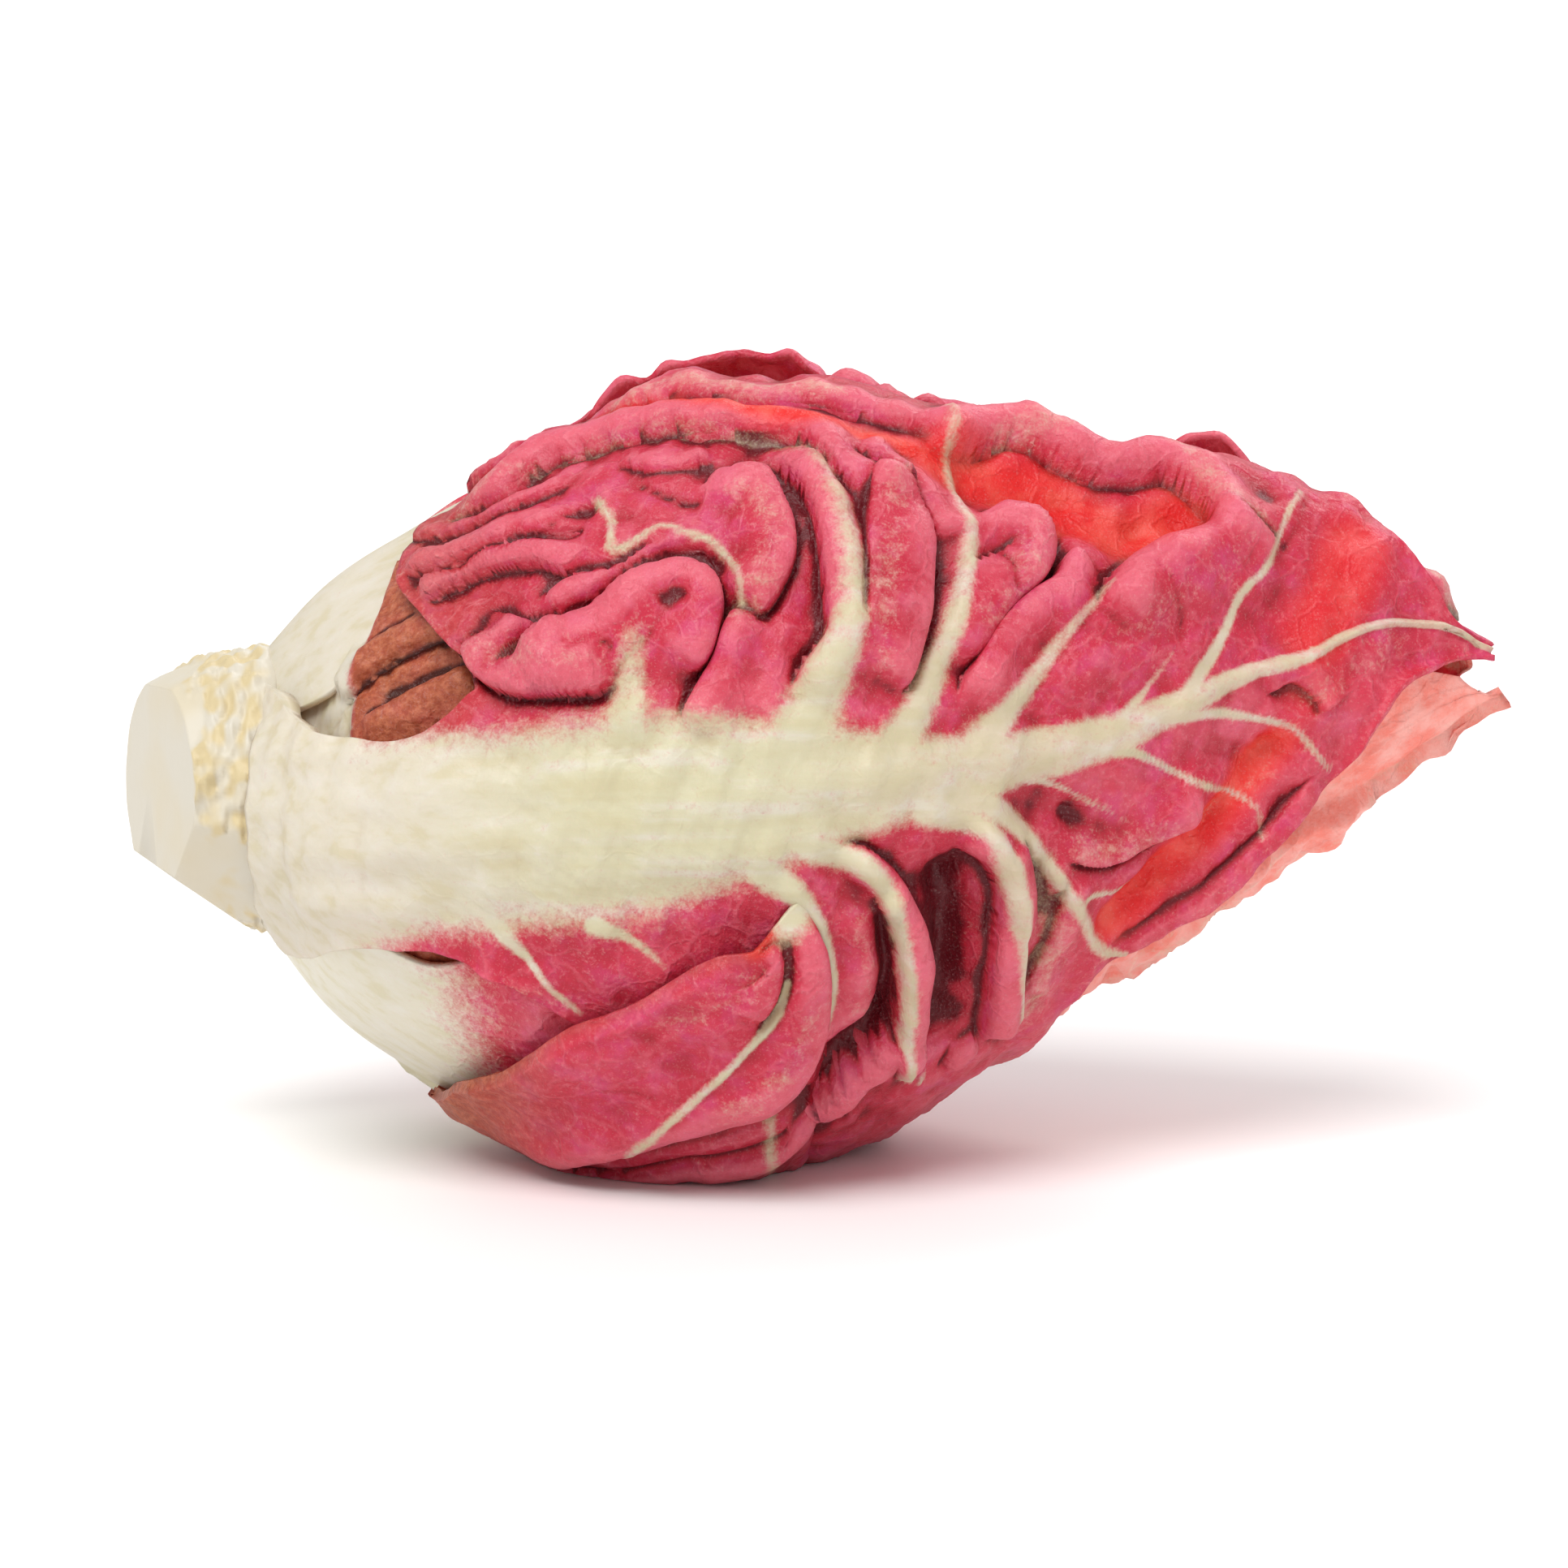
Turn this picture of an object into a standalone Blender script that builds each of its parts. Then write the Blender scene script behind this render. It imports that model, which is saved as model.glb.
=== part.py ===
"""Radicchio head of the long-headed pink kind, picked and lying on its side.

The stem points to -X and the leaf tips to +X, +Z is up and the head rests on the plane z = 0. A tapered
core carries eight layers of leaves, two to a layer, wrapped round each other, with a small closed bud at the
heart. Every leaf is one solid: a thin blade with a thick midrib, on its own layer of the head's shape, clear
of its neighbours.
"""

import math

import bmesh
import bpy
import numpy as np
from mathutils import Vector

MM = 0.001

# The head's shape: at each place along X (mm), the lowest and the highest Z, and half the depth along Y.
STATION_X = np.array([-62, -55, -45, -32, -16, -2, 12, 24, 36, 50, 62, 71, 80.0])
STATION_LOW = np.array([26.5, 16, 7.5, 0.5, -2, -1.5, 4, 12.5, 20.5, 28.5, 38, 45, 51.5])
STATION_HIGH = np.array([57.3, 66, 73.5, 81, 88.3, 89.6, 87, 83, 80, 78.5, 74, 65.5, 55.5])
STATION_DEPTH = np.array([15.5, 24, 31, 36.5, 39, 38.5, 35, 30, 24.5, 18, 12, 7, 2.5])

LAYER_PITCH = 4.4  # mm between two layers where the head is widest
LAYERS = 8
PIECE_GAP = 0.5  # mm of air that is always left between two pieces

# The stem and the core inside the head, as (place along X, radius) in mm, from the core's tip to the cut end.
STEM_HEIGHT = 41.9
CORE = [(-20, 0), (-24, 2.2), (-36, 4.6), (-47, 7.5), (-56, 10.0), (-62.6, 10.8)]
STUB = [(-62.6, 15.6), (-66, 15.2), (-71, 13.6), (-76, 12.4), (-80, 11.6), (-80, 0)]
STEM_SIDES = 28
CUT_X = -78.6  # where the knife's cut crosses the stem's axis
CUT_TURN = math.radians(20)  # how far the cut face turns towards the front, about Z

# Leaves: thickness of the blade and of the midrib where it is thickest, in mm.
OUTER_BLADE, OUTER_RIB = 1.1, 3.6
INNER_BLADE, INNER_RIB = 0.9, 2.0

PINK = (0.56, 0.10, 0.16)
CREAM = (0.80, 0.76, 0.56)
YOUNG = (0.62, 0.20, 0.20)


def through(x, places, values):
    """A smooth curve through the values given at the places, read at x."""
    slopes = np.gradient(values, places)
    i = np.clip(np.searchsorted(places, x) - 1, 0, len(places) - 2)
    step = places[i + 1] - places[i]
    t = np.clip((x - places[i]) / step, 0, 1)
    return (
        (2 * t**3 - 3 * t**2 + 1) * values[i]
        + (t**3 - 2 * t**2 + t) * step * slopes[i]
        + (3 * t**2 - 2 * t**3) * values[i + 1]
        + (t**3 - t**2) * step * slopes[i + 1]
    )


def layer_depth(x, layer):
    """How far a layer lies inside the head's skin at x: the layers close up where the head is slim."""
    return layer * LAYER_PITCH * (through(x, STATION_X, STATION_DEPTH) / STATION_DEPTH.max()) ** 0.8


def on_layer(x, angle, layer):
    """Points of a layer at x (mm). The angle is 0 at the front, 90 degrees on top and 180 at the back."""
    low = through(x, STATION_X, STATION_LOW)
    high = through(x, STATION_X, STATION_HIGH)
    inset = layer_depth(x, layer)
    depth = through(x, STATION_X, STATION_DEPTH) - inset
    y = -depth * np.cos(angle)
    z = (high + low) / 2 + ((high - low) / 2 - inset) * np.sin(angle)
    return np.stack([x, y, np.maximum(z, inset)], axis=-1)


def core_radius(x):
    places, radii = np.array(CORE[::-1], float).T
    return np.interp(x, places, radii, right=0.0)


def layer_start(layer, thickness):
    """The first place along X where a leaf of this layer clears the core."""
    x = np.linspace(STATION_X[0], 0, 400)
    depth = through(x, STATION_X, STATION_DEPTH) - layer_depth(x, layer)
    clear = depth > core_radius(x) + thickness + PIECE_GAP
    return float(x[np.argmax(clear)])


def material(name, colour, roughness):
    made = bpy.data.materials.new(name)
    made.use_nodes = True
    shader = made.node_tree.nodes["Principled BSDF"]
    shader.inputs["Base Color"].default_value = (*colour, 1)
    shader.inputs["Roughness"].default_value = roughness
    return made


def add_leaf(name, layer, middle, reach, length, sweep, thickness, rib_width, grid, finish):
    """One leaf. middle is the midrib's angle. reach is the half width in degrees, as (place from 0 to 1,
    below, above). length is (start, end) along X, and sweep is how far the side edges run back towards the
    stem, as (place, mm)."""
    rows, columns = grid
    blade, rib = thickness
    bpy.ops.mesh.primitive_grid_add(x_subdivisions=rows, y_subdivisions=columns, size=2)
    leaf = bpy.context.object
    leaf.name = name
    points = np.empty(len(leaf.data.vertices) * 3)
    leaf.data.vertices.foreach_get("co", points)
    along, across = (points.reshape(-1, 3)[:, 0] + 1) / 2, points.reshape(-1, 3)[:, 1]

    places, below, above = np.array(reach, float).T
    side = np.where(across < 0, through(along, places, below), through(along, places, above))
    angle = np.radians(middle + across * side)
    sweep_places, sweep_back = np.array(sweep, float).T
    start, end = length
    x = start + (end - start) * along - through(along, sweep_places, sweep_back) * across**2
    x = np.clip(x, start, STATION_X[-1])
    skin = on_layer(x, angle, layer)
    leaf.data.vertices.foreach_set("co", (skin * MM).ravel())

    # The midrib: the blade thickens towards its middle line, less and less towards the tip.
    radius = through(x, STATION_X, STATION_DEPTH) - layer_depth(x, layer)
    off_rib = np.abs(across) * np.radians(side) * radius
    narrowing = 1 - 0.8 * along
    thick = blade + (rib - blade) * narrowing * np.exp(-((off_rib / (rib_width * narrowing)) ** 2))
    thick *= np.clip(0.35 + 5 * along, 0, 1)
    group = leaf.vertex_groups.new(name="thickness")
    for index, share in enumerate(thick / rib):
        group.add([index], float(min(share, 1.0)), "REPLACE")
    shell = leaf.modifiers.new("blade", "SOLIDIFY")
    shell.thickness = rib * MM
    shell.offset = -1
    shell.vertex_group = group.name
    leaf.data.materials.append(finish)
    leaf.data.shade_smooth()
    return leaf


def add_stem(finish):
    """The stem's stub and the core that carries the leaves: one turned piece, cut off slanting at its end."""
    profile = bpy.data.meshes.new("stem_profile")
    outline = [(r * MM, 0, x * MM) for x, r in CORE + STUB]
    profile.from_pydata(outline, [(i, i + 1) for i in range(len(outline) - 1)], [])
    stem = bpy.data.objects.new("stem_core", profile)
    bpy.context.collection.objects.link(stem)
    stem.location = (0, 0, STEM_HEIGHT * MM)
    stem.rotation_euler = (0, math.pi / 2, 0)
    turn = stem.modifiers.new("turn", "SCREW")
    turn.axis = "Z"
    turn.steps = turn.render_steps = STEM_SIDES
    turn.use_merge_vertices = True
    turn.merge_threshold = 0.00005

    bpy.ops.mesh.primitive_cube_add(size=40 * MM)
    knife = bpy.context.object
    knife.name = "knife"
    knife.rotation_euler = (0, 0, CUT_TURN)
    outward = Vector((-math.cos(CUT_TURN), -math.sin(CUT_TURN), 0))
    knife.location = Vector((CUT_X * MM, 0, STEM_HEIGHT * MM)) + outward * 20 * MM
    knife.hide_render = True
    knife.display_type = "WIRE"
    cut = stem.modifiers.new("cut", "BOOLEAN")
    cut.operation = "DIFFERENCE"
    cut.object = knife
    profile.materials.append(finish)
    return stem, knife


def add_heart(finish):
    """The closed bud of the youngest leaves, just past the tip of the core."""
    start, end, half = CORE[0][0] + 1.0, 16.0, 3.6
    bpy.ops.mesh.primitive_uv_sphere_add(segments=14, ring_count=10, radius=1)
    heart = bpy.context.object
    heart.name = "heart_bud"
    centre = (start + end) / 2
    middle = (through(centre, STATION_X, STATION_LOW) + through(centre, STATION_X, STATION_HIGH)) / 2
    bmesh_of = bmesh.new()
    bmesh_of.from_mesh(heart.data)
    for corner in bmesh_of.verts:
        along = corner.co.z
        slim = half * (1 - 0.35 * along)
        corner.co = Vector((along * (end - start) / 2, corner.co.x * slim, corner.co.y * slim)) * MM
    bmesh.ops.recalc_face_normals(bmesh_of, faces=bmesh_of.faces)
    bmesh_of.to_mesh(heart.data)
    bmesh_of.free()
    heart.location = (centre * MM, 0, middle * MM)
    heart.data.materials.append(finish)
    heart.data.shade_smooth()
    return heart


for old in list(bpy.data.objects):
    bpy.data.objects.remove(old)

blade_finish = material("radicchio_blade", PINK, 0.5)
base_finish = material("radicchio_stem", CREAM, 0.55)
young_finish = material("radicchio_heart", YOUNG, 0.55)

pieces = []
stem_core, stem_knife = add_stem(base_finish)
pieces.append(stem_core)

# The front leaf: a broad midrib with no blade near the stem, then a blade that wraps over the top and under
# the head. Its lobes run back towards the stem, and its lower edge leaves the lower leaf bare near the tips.
FRONT_REACH = [(0, 62, 54), (0.08, 42, 30), (0.18, 34, 24), (0.24, 66, 46), (0.3, 88, 68), (0.42, 104, 86),
               (0.6, 92, 86), (0.7, 58, 84), (0.8, 44, 78), (0.93, 30, 62), (1, 20, 34)]
FRONT_SWEEP = [(0, 0), (0.18, 0), (0.24, 11), (0.3, 20), (0.36, 20), (0.45, 12), (0.6, 6), (0.85, 3), (1, 6)]
pieces.append(
    add_leaf("front_leaf", 0, -6, FRONT_REACH, (-62, 78), FRONT_SWEEP, (OUTER_BLADE, OUTER_RIB), 12, (30, 23),
             blade_finish)
)
BACK_REACH = [(0, 52, 52), (0.2, 58, 60), (0.5, 66, 66), (0.8, 60, 62), (1, 30, 30)]
pieces.append(
    add_leaf("back_leaf", 0, 168, BACK_REACH, (-62, 76), [(0, 0), (0.5, 2), (1, 9)],
             (OUTER_BLADE, OUTER_RIB), 10, (20, 13), blade_finish)
)

# The upper and the lower leaf lie under the edges of those two. The lower one reaches furthest of all.
SIDE_REACH = [(0, 50, 50), (0.15, 58, 58), (0.5, 84, 82), (0.8, 80, 80), (1, 40, 40)]
for side_name, side_middle, side_end in (("upper_leaf", 94, 75), ("lower_leaf", -90, 80)):
    pieces.append(
        add_leaf(side_name, 1, side_middle, SIDE_REACH, (-61.5, side_end), [(0, 0), (0.5, 3), (1, 9)],
                 (OUTER_BLADE, OUTER_RIB - 0.8), 9, (18, 13), blade_finish)
    )

# The inner leaves: each pair stands 38 degrees on from the pair outside it, and ends sooner.
INNER_REACH = [(0, 62, 62), (0.5, 84, 84), (1, 50, 50)]
INNER_SWEEP = [(0, 0), (0.5, 2), (1, 8)]
INNER_RIB_WIDTH = 7
INNER_GRID = (11, 9)
INNER_TURN = 38
INNER_END, INNER_SHORTER = 70, 7.5  # mm: where the first pair ends, and how much sooner each next pair does
FIRST_YOUNG_LAYER = 5
for inner_layer in range(2, LAYERS):
    steps_in = inner_layer - 2
    inner_start = max(layer_start(inner_layer, INNER_RIB), -61.0)
    inner_end = INNER_END - INNER_SHORTER * steps_in
    inner_finish = blade_finish if inner_layer < FIRST_YOUNG_LAYER else young_finish
    for half, turned in (("a", 0), ("b", 180)):
        inner_middle = 12 + INNER_TURN * steps_in + turned
        pieces.append(
            add_leaf(f"inner_leaf_{inner_layer}{half}", inner_layer, inner_middle, INNER_REACH,
                     (inner_start, inner_end), INNER_SWEEP, (INNER_BLADE, INNER_RIB), INNER_RIB_WIDTH,
                     INNER_GRID, inner_finish)
        )
pieces.append(add_heart(young_finish))

head = bpy.data.collections.new("radicchio_head")
cutters = bpy.data.collections.new("cutters")
for group_of in (head, cutters):
    bpy.context.scene.collection.children.link(group_of)
for piece in [*pieces, stem_knife]:
    for held_by in list(piece.users_collection):
        held_by.objects.unlink(piece)
    (cutters if piece is stem_knife else head).objects.link(piece)
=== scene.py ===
"""Radicchio head, picked and lying on its side: a cut stem, crinkled leaves with cream ribs, younger leaves inside.

The stem points to -X and the leaf tips to +X. Lengths are in mm until a mesh is made, and metres after that.
"""

import math

import bpy
import numpy as np
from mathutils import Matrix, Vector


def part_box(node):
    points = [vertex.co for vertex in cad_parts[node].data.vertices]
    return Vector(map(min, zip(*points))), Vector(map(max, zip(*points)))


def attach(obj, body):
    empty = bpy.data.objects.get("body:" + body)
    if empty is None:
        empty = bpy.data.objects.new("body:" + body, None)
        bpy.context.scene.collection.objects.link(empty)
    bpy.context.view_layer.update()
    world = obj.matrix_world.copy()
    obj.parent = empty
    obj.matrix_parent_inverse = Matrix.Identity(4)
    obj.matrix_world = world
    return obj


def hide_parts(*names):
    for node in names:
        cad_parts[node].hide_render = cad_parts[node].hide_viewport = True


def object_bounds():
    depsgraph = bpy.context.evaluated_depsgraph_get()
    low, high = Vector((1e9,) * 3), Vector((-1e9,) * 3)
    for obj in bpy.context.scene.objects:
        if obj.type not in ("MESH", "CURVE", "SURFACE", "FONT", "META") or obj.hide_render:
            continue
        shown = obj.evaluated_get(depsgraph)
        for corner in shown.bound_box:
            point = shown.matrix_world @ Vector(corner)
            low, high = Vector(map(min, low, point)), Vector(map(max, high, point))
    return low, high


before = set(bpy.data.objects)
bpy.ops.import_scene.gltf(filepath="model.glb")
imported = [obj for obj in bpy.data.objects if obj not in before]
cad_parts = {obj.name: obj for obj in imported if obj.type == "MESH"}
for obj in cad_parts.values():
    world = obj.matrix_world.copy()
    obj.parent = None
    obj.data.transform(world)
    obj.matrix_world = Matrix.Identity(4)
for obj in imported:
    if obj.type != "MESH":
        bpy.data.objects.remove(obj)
cad_low, cad_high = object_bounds()

MM = 0.001

# ---------------------------------------------------------------------------------------------------------------
# The table, the light and the camera.
# A plain pale table top that runs out into a white surround, lit all round like a light tent, with a soft lamp
# above and behind that shines through the thin edges of the leaves.

SIGHT = math.radians(10)  # how far the camera looks down
LENS = 0.2
SENSOR = 0.036
VIEW_WIDTH = 1.122 * (cad_high.x - cad_low.x)
AIM = (-0.0033, 0.0, 0.0422)


def shader_of(made):
    """Clears a material's nodes and gives (nodes, links, Principled shader, output)."""
    made.use_nodes = True
    nodes, links = made.node_tree.nodes, made.node_tree.links
    nodes.clear()
    output = nodes.new("ShaderNodeOutputMaterial")
    shader = nodes.new("ShaderNodeBsdfPrincipled")
    links.new(shader.outputs["BSDF"], output.inputs["Surface"])
    return nodes, links, shader, output


def sun(name, height, bearing, power, spread):
    """Even light from far off: degrees above the table, bearing from +X, power, and how wide its source looks."""
    light = bpy.data.lights.new(name, "SUN")
    light.energy = power
    light.angle = math.radians(spread)
    made = bpy.data.objects.new(name, light)
    bpy.context.scene.collection.objects.link(made)
    up, turn = math.radians(height), math.radians(bearing)
    source = Vector((math.cos(up) * math.cos(turn), math.cos(up) * math.sin(turn), math.sin(up)))
    made.rotation_euler = source.to_track_quat("Z", "Y").to_euler()


bpy.ops.mesh.primitive_plane_add(size=40)
table_top = bpy.context.object
table_top.name = "table_top"
table_paint = bpy.data.materials.new("pale_table")
_, _, table_shader, _ = shader_of(table_paint)
table_shader.inputs["Base Color"].default_value = (0.93, 0.92, 0.915, 1)
table_shader.inputs["Roughness"].default_value = 0.6
table_shader.inputs["Specular IOR Level"].default_value = 0.2
table_top.data.materials.append(table_paint)

surround = bpy.data.worlds.new("white_surround")
surround.use_nodes = True
surround.node_tree.nodes["Background"].inputs["Color"].default_value = (1, 1, 1, 1)
surround_nodes, surround_links = surround.node_tree.nodes, surround.node_tree.links
seen_or_lit = surround_nodes.new("ShaderNodeMapRange")  # plain white to look at, a little dimmer as a light
seen_or_lit.inputs["To Min"].default_value = 0.6
seen_or_lit.inputs["To Max"].default_value = 1.0
surround_links.new(surround_nodes.new("ShaderNodeLightPath").outputs["Is Camera Ray"], seen_or_lit.inputs["Value"])
surround_links.new(seen_or_lit.outputs["Result"], surround_nodes["Background"].inputs["Strength"])
bpy.context.scene.world = surround
bpy.context.scene.view_settings.view_transform = "Standard"

sun("top_light", 58, -112, 2.3, 38)
sun("back_light", 40, 60, 1.1, 35)

camera_data = bpy.data.cameras.new("camera")
camera_data.lens = LENS / MM
camera_data.sensor_width = SENSOR / MM
camera = bpy.data.objects.new("camera", camera_data)
bpy.context.scene.collection.objects.link(camera)
camera_reach = VIEW_WIDTH * LENS / SENSOR
towards_camera = Vector((0, -math.cos(SIGHT), math.sin(SIGHT)))
camera.location = Vector(AIM) + towards_camera * camera_reach
camera.rotation_euler = towards_camera.to_track_quat("Z", "Y").to_euler()
bpy.context.scene.camera = camera

# ---------------------------------------------------------------------------------------------------------------
# The front leaf.
# The outermost leaf: a broad cream midrib, bare near the stem, and a pink blade wrapped over the top and under
# the head. Its side veins stand up as ribs, the blade between them is puckered into folds and deep pockets, and
# one lobe at the base is folded forward over the leaf.

# The head's shape: at each place along X, its lowest and highest Z and half its depth along Y.
STATION_X = np.array([-62, -55, -45, -32, -16, -2, 12, 24, 36, 50, 62, 71, 80.0])
STATION_LOW = np.array([26.5, 16, 7.5, 0.5, -2, -1.5, 4, 12.5, 20.5, 28.5, 38, 45, 51.5])
STATION_HIGH = np.array([57.3, 66, 73.5, 81, 88.3, 89.6, 87, 83, 80, 78.5, 74, 65.5, 55.5])
STATION_DEPTH = np.array([15.5, 24, 31, 36.5, 39, 38.5, 35, 30, 24.5, 18, 12, 7, 2.5])
RESTING = 0.12  # how far a leaf's skin stays above the table


def through(x, places, values):
    """A smooth curve through the values at the places, read at x: cubic pieces with matching slopes."""
    slopes = np.gradient(values, places)
    i = np.clip(np.searchsorted(places, x) - 1, 0, len(places) - 2)
    step = places[i + 1] - places[i]
    t = np.clip((x - places[i]) / step, 0, 1)
    return (
        (2 * t**3 - 3 * t**2 + 1) * values[i]
        + (t**3 - 2 * t**2 + t) * step * slopes[i]
        + (3 * t**2 - 2 * t**3) * values[i + 1]
        + (t**3 - t**2) * step * slopes[i + 1]
    )


def soft(value, start, end):
    """0 before start, 1 after end, and a smooth S between them."""
    t = np.clip((value - start) / (end - start), 0, 1)
    return t * t * (3 - 2 * t)


def skin(x, angle, inset=0.0):
    """Points of the head's shape: an ellipse across X, shrunk by the inset, less so where the head is slim."""
    low, high = through(x, STATION_X, STATION_LOW), through(x, STATION_X, STATION_HIGH)
    depth = through(x, STATION_X, STATION_DEPTH)
    inset = inset * (depth / STATION_DEPTH.max()) ** 0.8
    y = -(depth - inset) * np.cos(angle)
    z = (high + low) / 2 + ((high - low) / 2 - inset) * np.sin(angle)
    return np.stack([x + 0 * y, y, z], axis=-1)


def front(x, height, inset=0.0):
    """(x, angle) of the spot on the head's front that shows at this height to someone looking down by SIGHT."""
    low, high = through(x, STATION_X, STATION_LOW), through(x, STATION_X, STATION_HIGH)
    depth = through(x, STATION_X, STATION_DEPTH)
    inset = inset * (depth / STATION_DEPTH.max()) ** 0.8
    up, forward = ((high - low) / 2 - inset) * math.cos(SIGHT), (depth - inset) * math.sin(SIGHT)
    sine = (height - SEEN_BASE - (high + low) / 2 * math.cos(SIGHT)) / np.hypot(up, forward)
    return x, float(np.arctan2(forward, up) + np.arcsin(np.clip(sine, -1, 1)))


SEEN_BASE = 1.6  # how much lower the head's bottom shows than the middle of its flat spot


def around(x, degrees):
    """(x, angle) of a spot given by its angle: 0 at the front, 90 on top, -90 underneath."""
    return x, math.radians(degrees)


def blend_marks(marks, across):
    """Rows of marks, evenly spaced, joined by a smooth curve in each row and read at across, from 0 to 1."""
    last = marks.shape[1] - 1
    slopes = np.gradient(marks, axis=1)
    i = np.clip((across * last).astype(int), 0, last - 1)
    t = (across * last - i)[None, :, None]
    return (
        (2 * t**3 - 3 * t**2 + 1) * marks[:, i]
        + (t**3 - 2 * t**2 + t) * slopes[:, i]
        + (3 * t**2 - 2 * t**3) * marks[:, i + 1]
        + (t**3 - t**2) * slopes[:, i + 1]
    )


def read_lines(lines, key):
    """Cross lines of a leaf, given as (key, mark, mark, ...), as arrays of marks read at every key."""
    places = np.array([line[0] for line in lines], float)
    marks = np.array([line[1:] for line in lines], float)
    flat = marks.reshape(len(lines), -1)
    return np.stack([through(key, places, column) for column in flat.T], axis=-1).reshape(-1, *marks.shape[1:])


def even_rows(read, start, end, count):
    """Keys from start to end at which the rows that read gives lie about evenly apart."""
    trial = np.linspace(start, end, 900)
    marks = read(trial)
    spots = skin(marks[..., 0], marks[..., 1])
    step = np.linalg.norm(np.diff(spots, axis=0), axis=-1)
    run = np.concatenate([[0], np.cumsum(0.5 * step.max(axis=1) + 0.5 * step.mean(axis=1))])
    return np.interp(np.linspace(0, run[-1], count), run, trial)


def outward(grid):
    """Unit normals of a grid of points, from the cross product of its two directions."""
    normal = np.cross(np.gradient(grid, axis=0), np.gradient(grid, axis=1))
    return normal / np.maximum(np.linalg.norm(normal, axis=-1, keepdims=True), 1e-9)


def smoothed(grid, times):
    """A grid of numbers after each was averaged with its four neighbours, times over."""
    for _ in range(times):
        wide = np.pad(grid, 1, mode="edge")
        grid = (2 * grid + wide[2:, 1:-1] + wide[:-2, 1:-1] + wide[1:-1, 2:] + wide[1:-1, :-2]) / 6
    return grid


def drawn(points, inset=0.0, each=6):
    """A smooth line on the head's skin through points given as (x, angle)."""
    spots = np.array(points, float)
    run = np.arange(len(spots), dtype=float)
    fine = np.linspace(0, len(spots) - 1, (len(spots) - 1) * each + 1)
    return skin(through(fine, run, spots[:, 0]), through(fine, run, spots[:, 1]), inset)


def seen(*points, inset=0.0):
    """Front spots from (x, height) pairs."""
    return [front(x, height, inset) for x, height in points]


def off_line(line, spots, normals):
    """For every spot: how far it lies left of the nearest piece of a line, seen from outside, how far it is from
    it, its share along the line, and the direction to the left."""
    begin, run = line[:-1], np.diff(line, axis=0)
    gap = spots[:, None] - begin[None]
    share = np.clip((gap * run).sum(-1) / (run**2).sum(-1), 0, 1)
    gap -= share[..., None] * run
    away = (gap**2).sum(-1)
    near = away.argmin(axis=1)
    rows = np.arange(len(spots))
    left = np.cross(normals, run[near])
    left /= np.maximum(np.linalg.norm(left, axis=-1, keepdims=True), 1e-9)
    side = (gap[rows, near] * left).sum(-1)
    return side, np.sqrt(away[rows, near]), (near + share[rows, near]) / len(run), left


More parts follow.
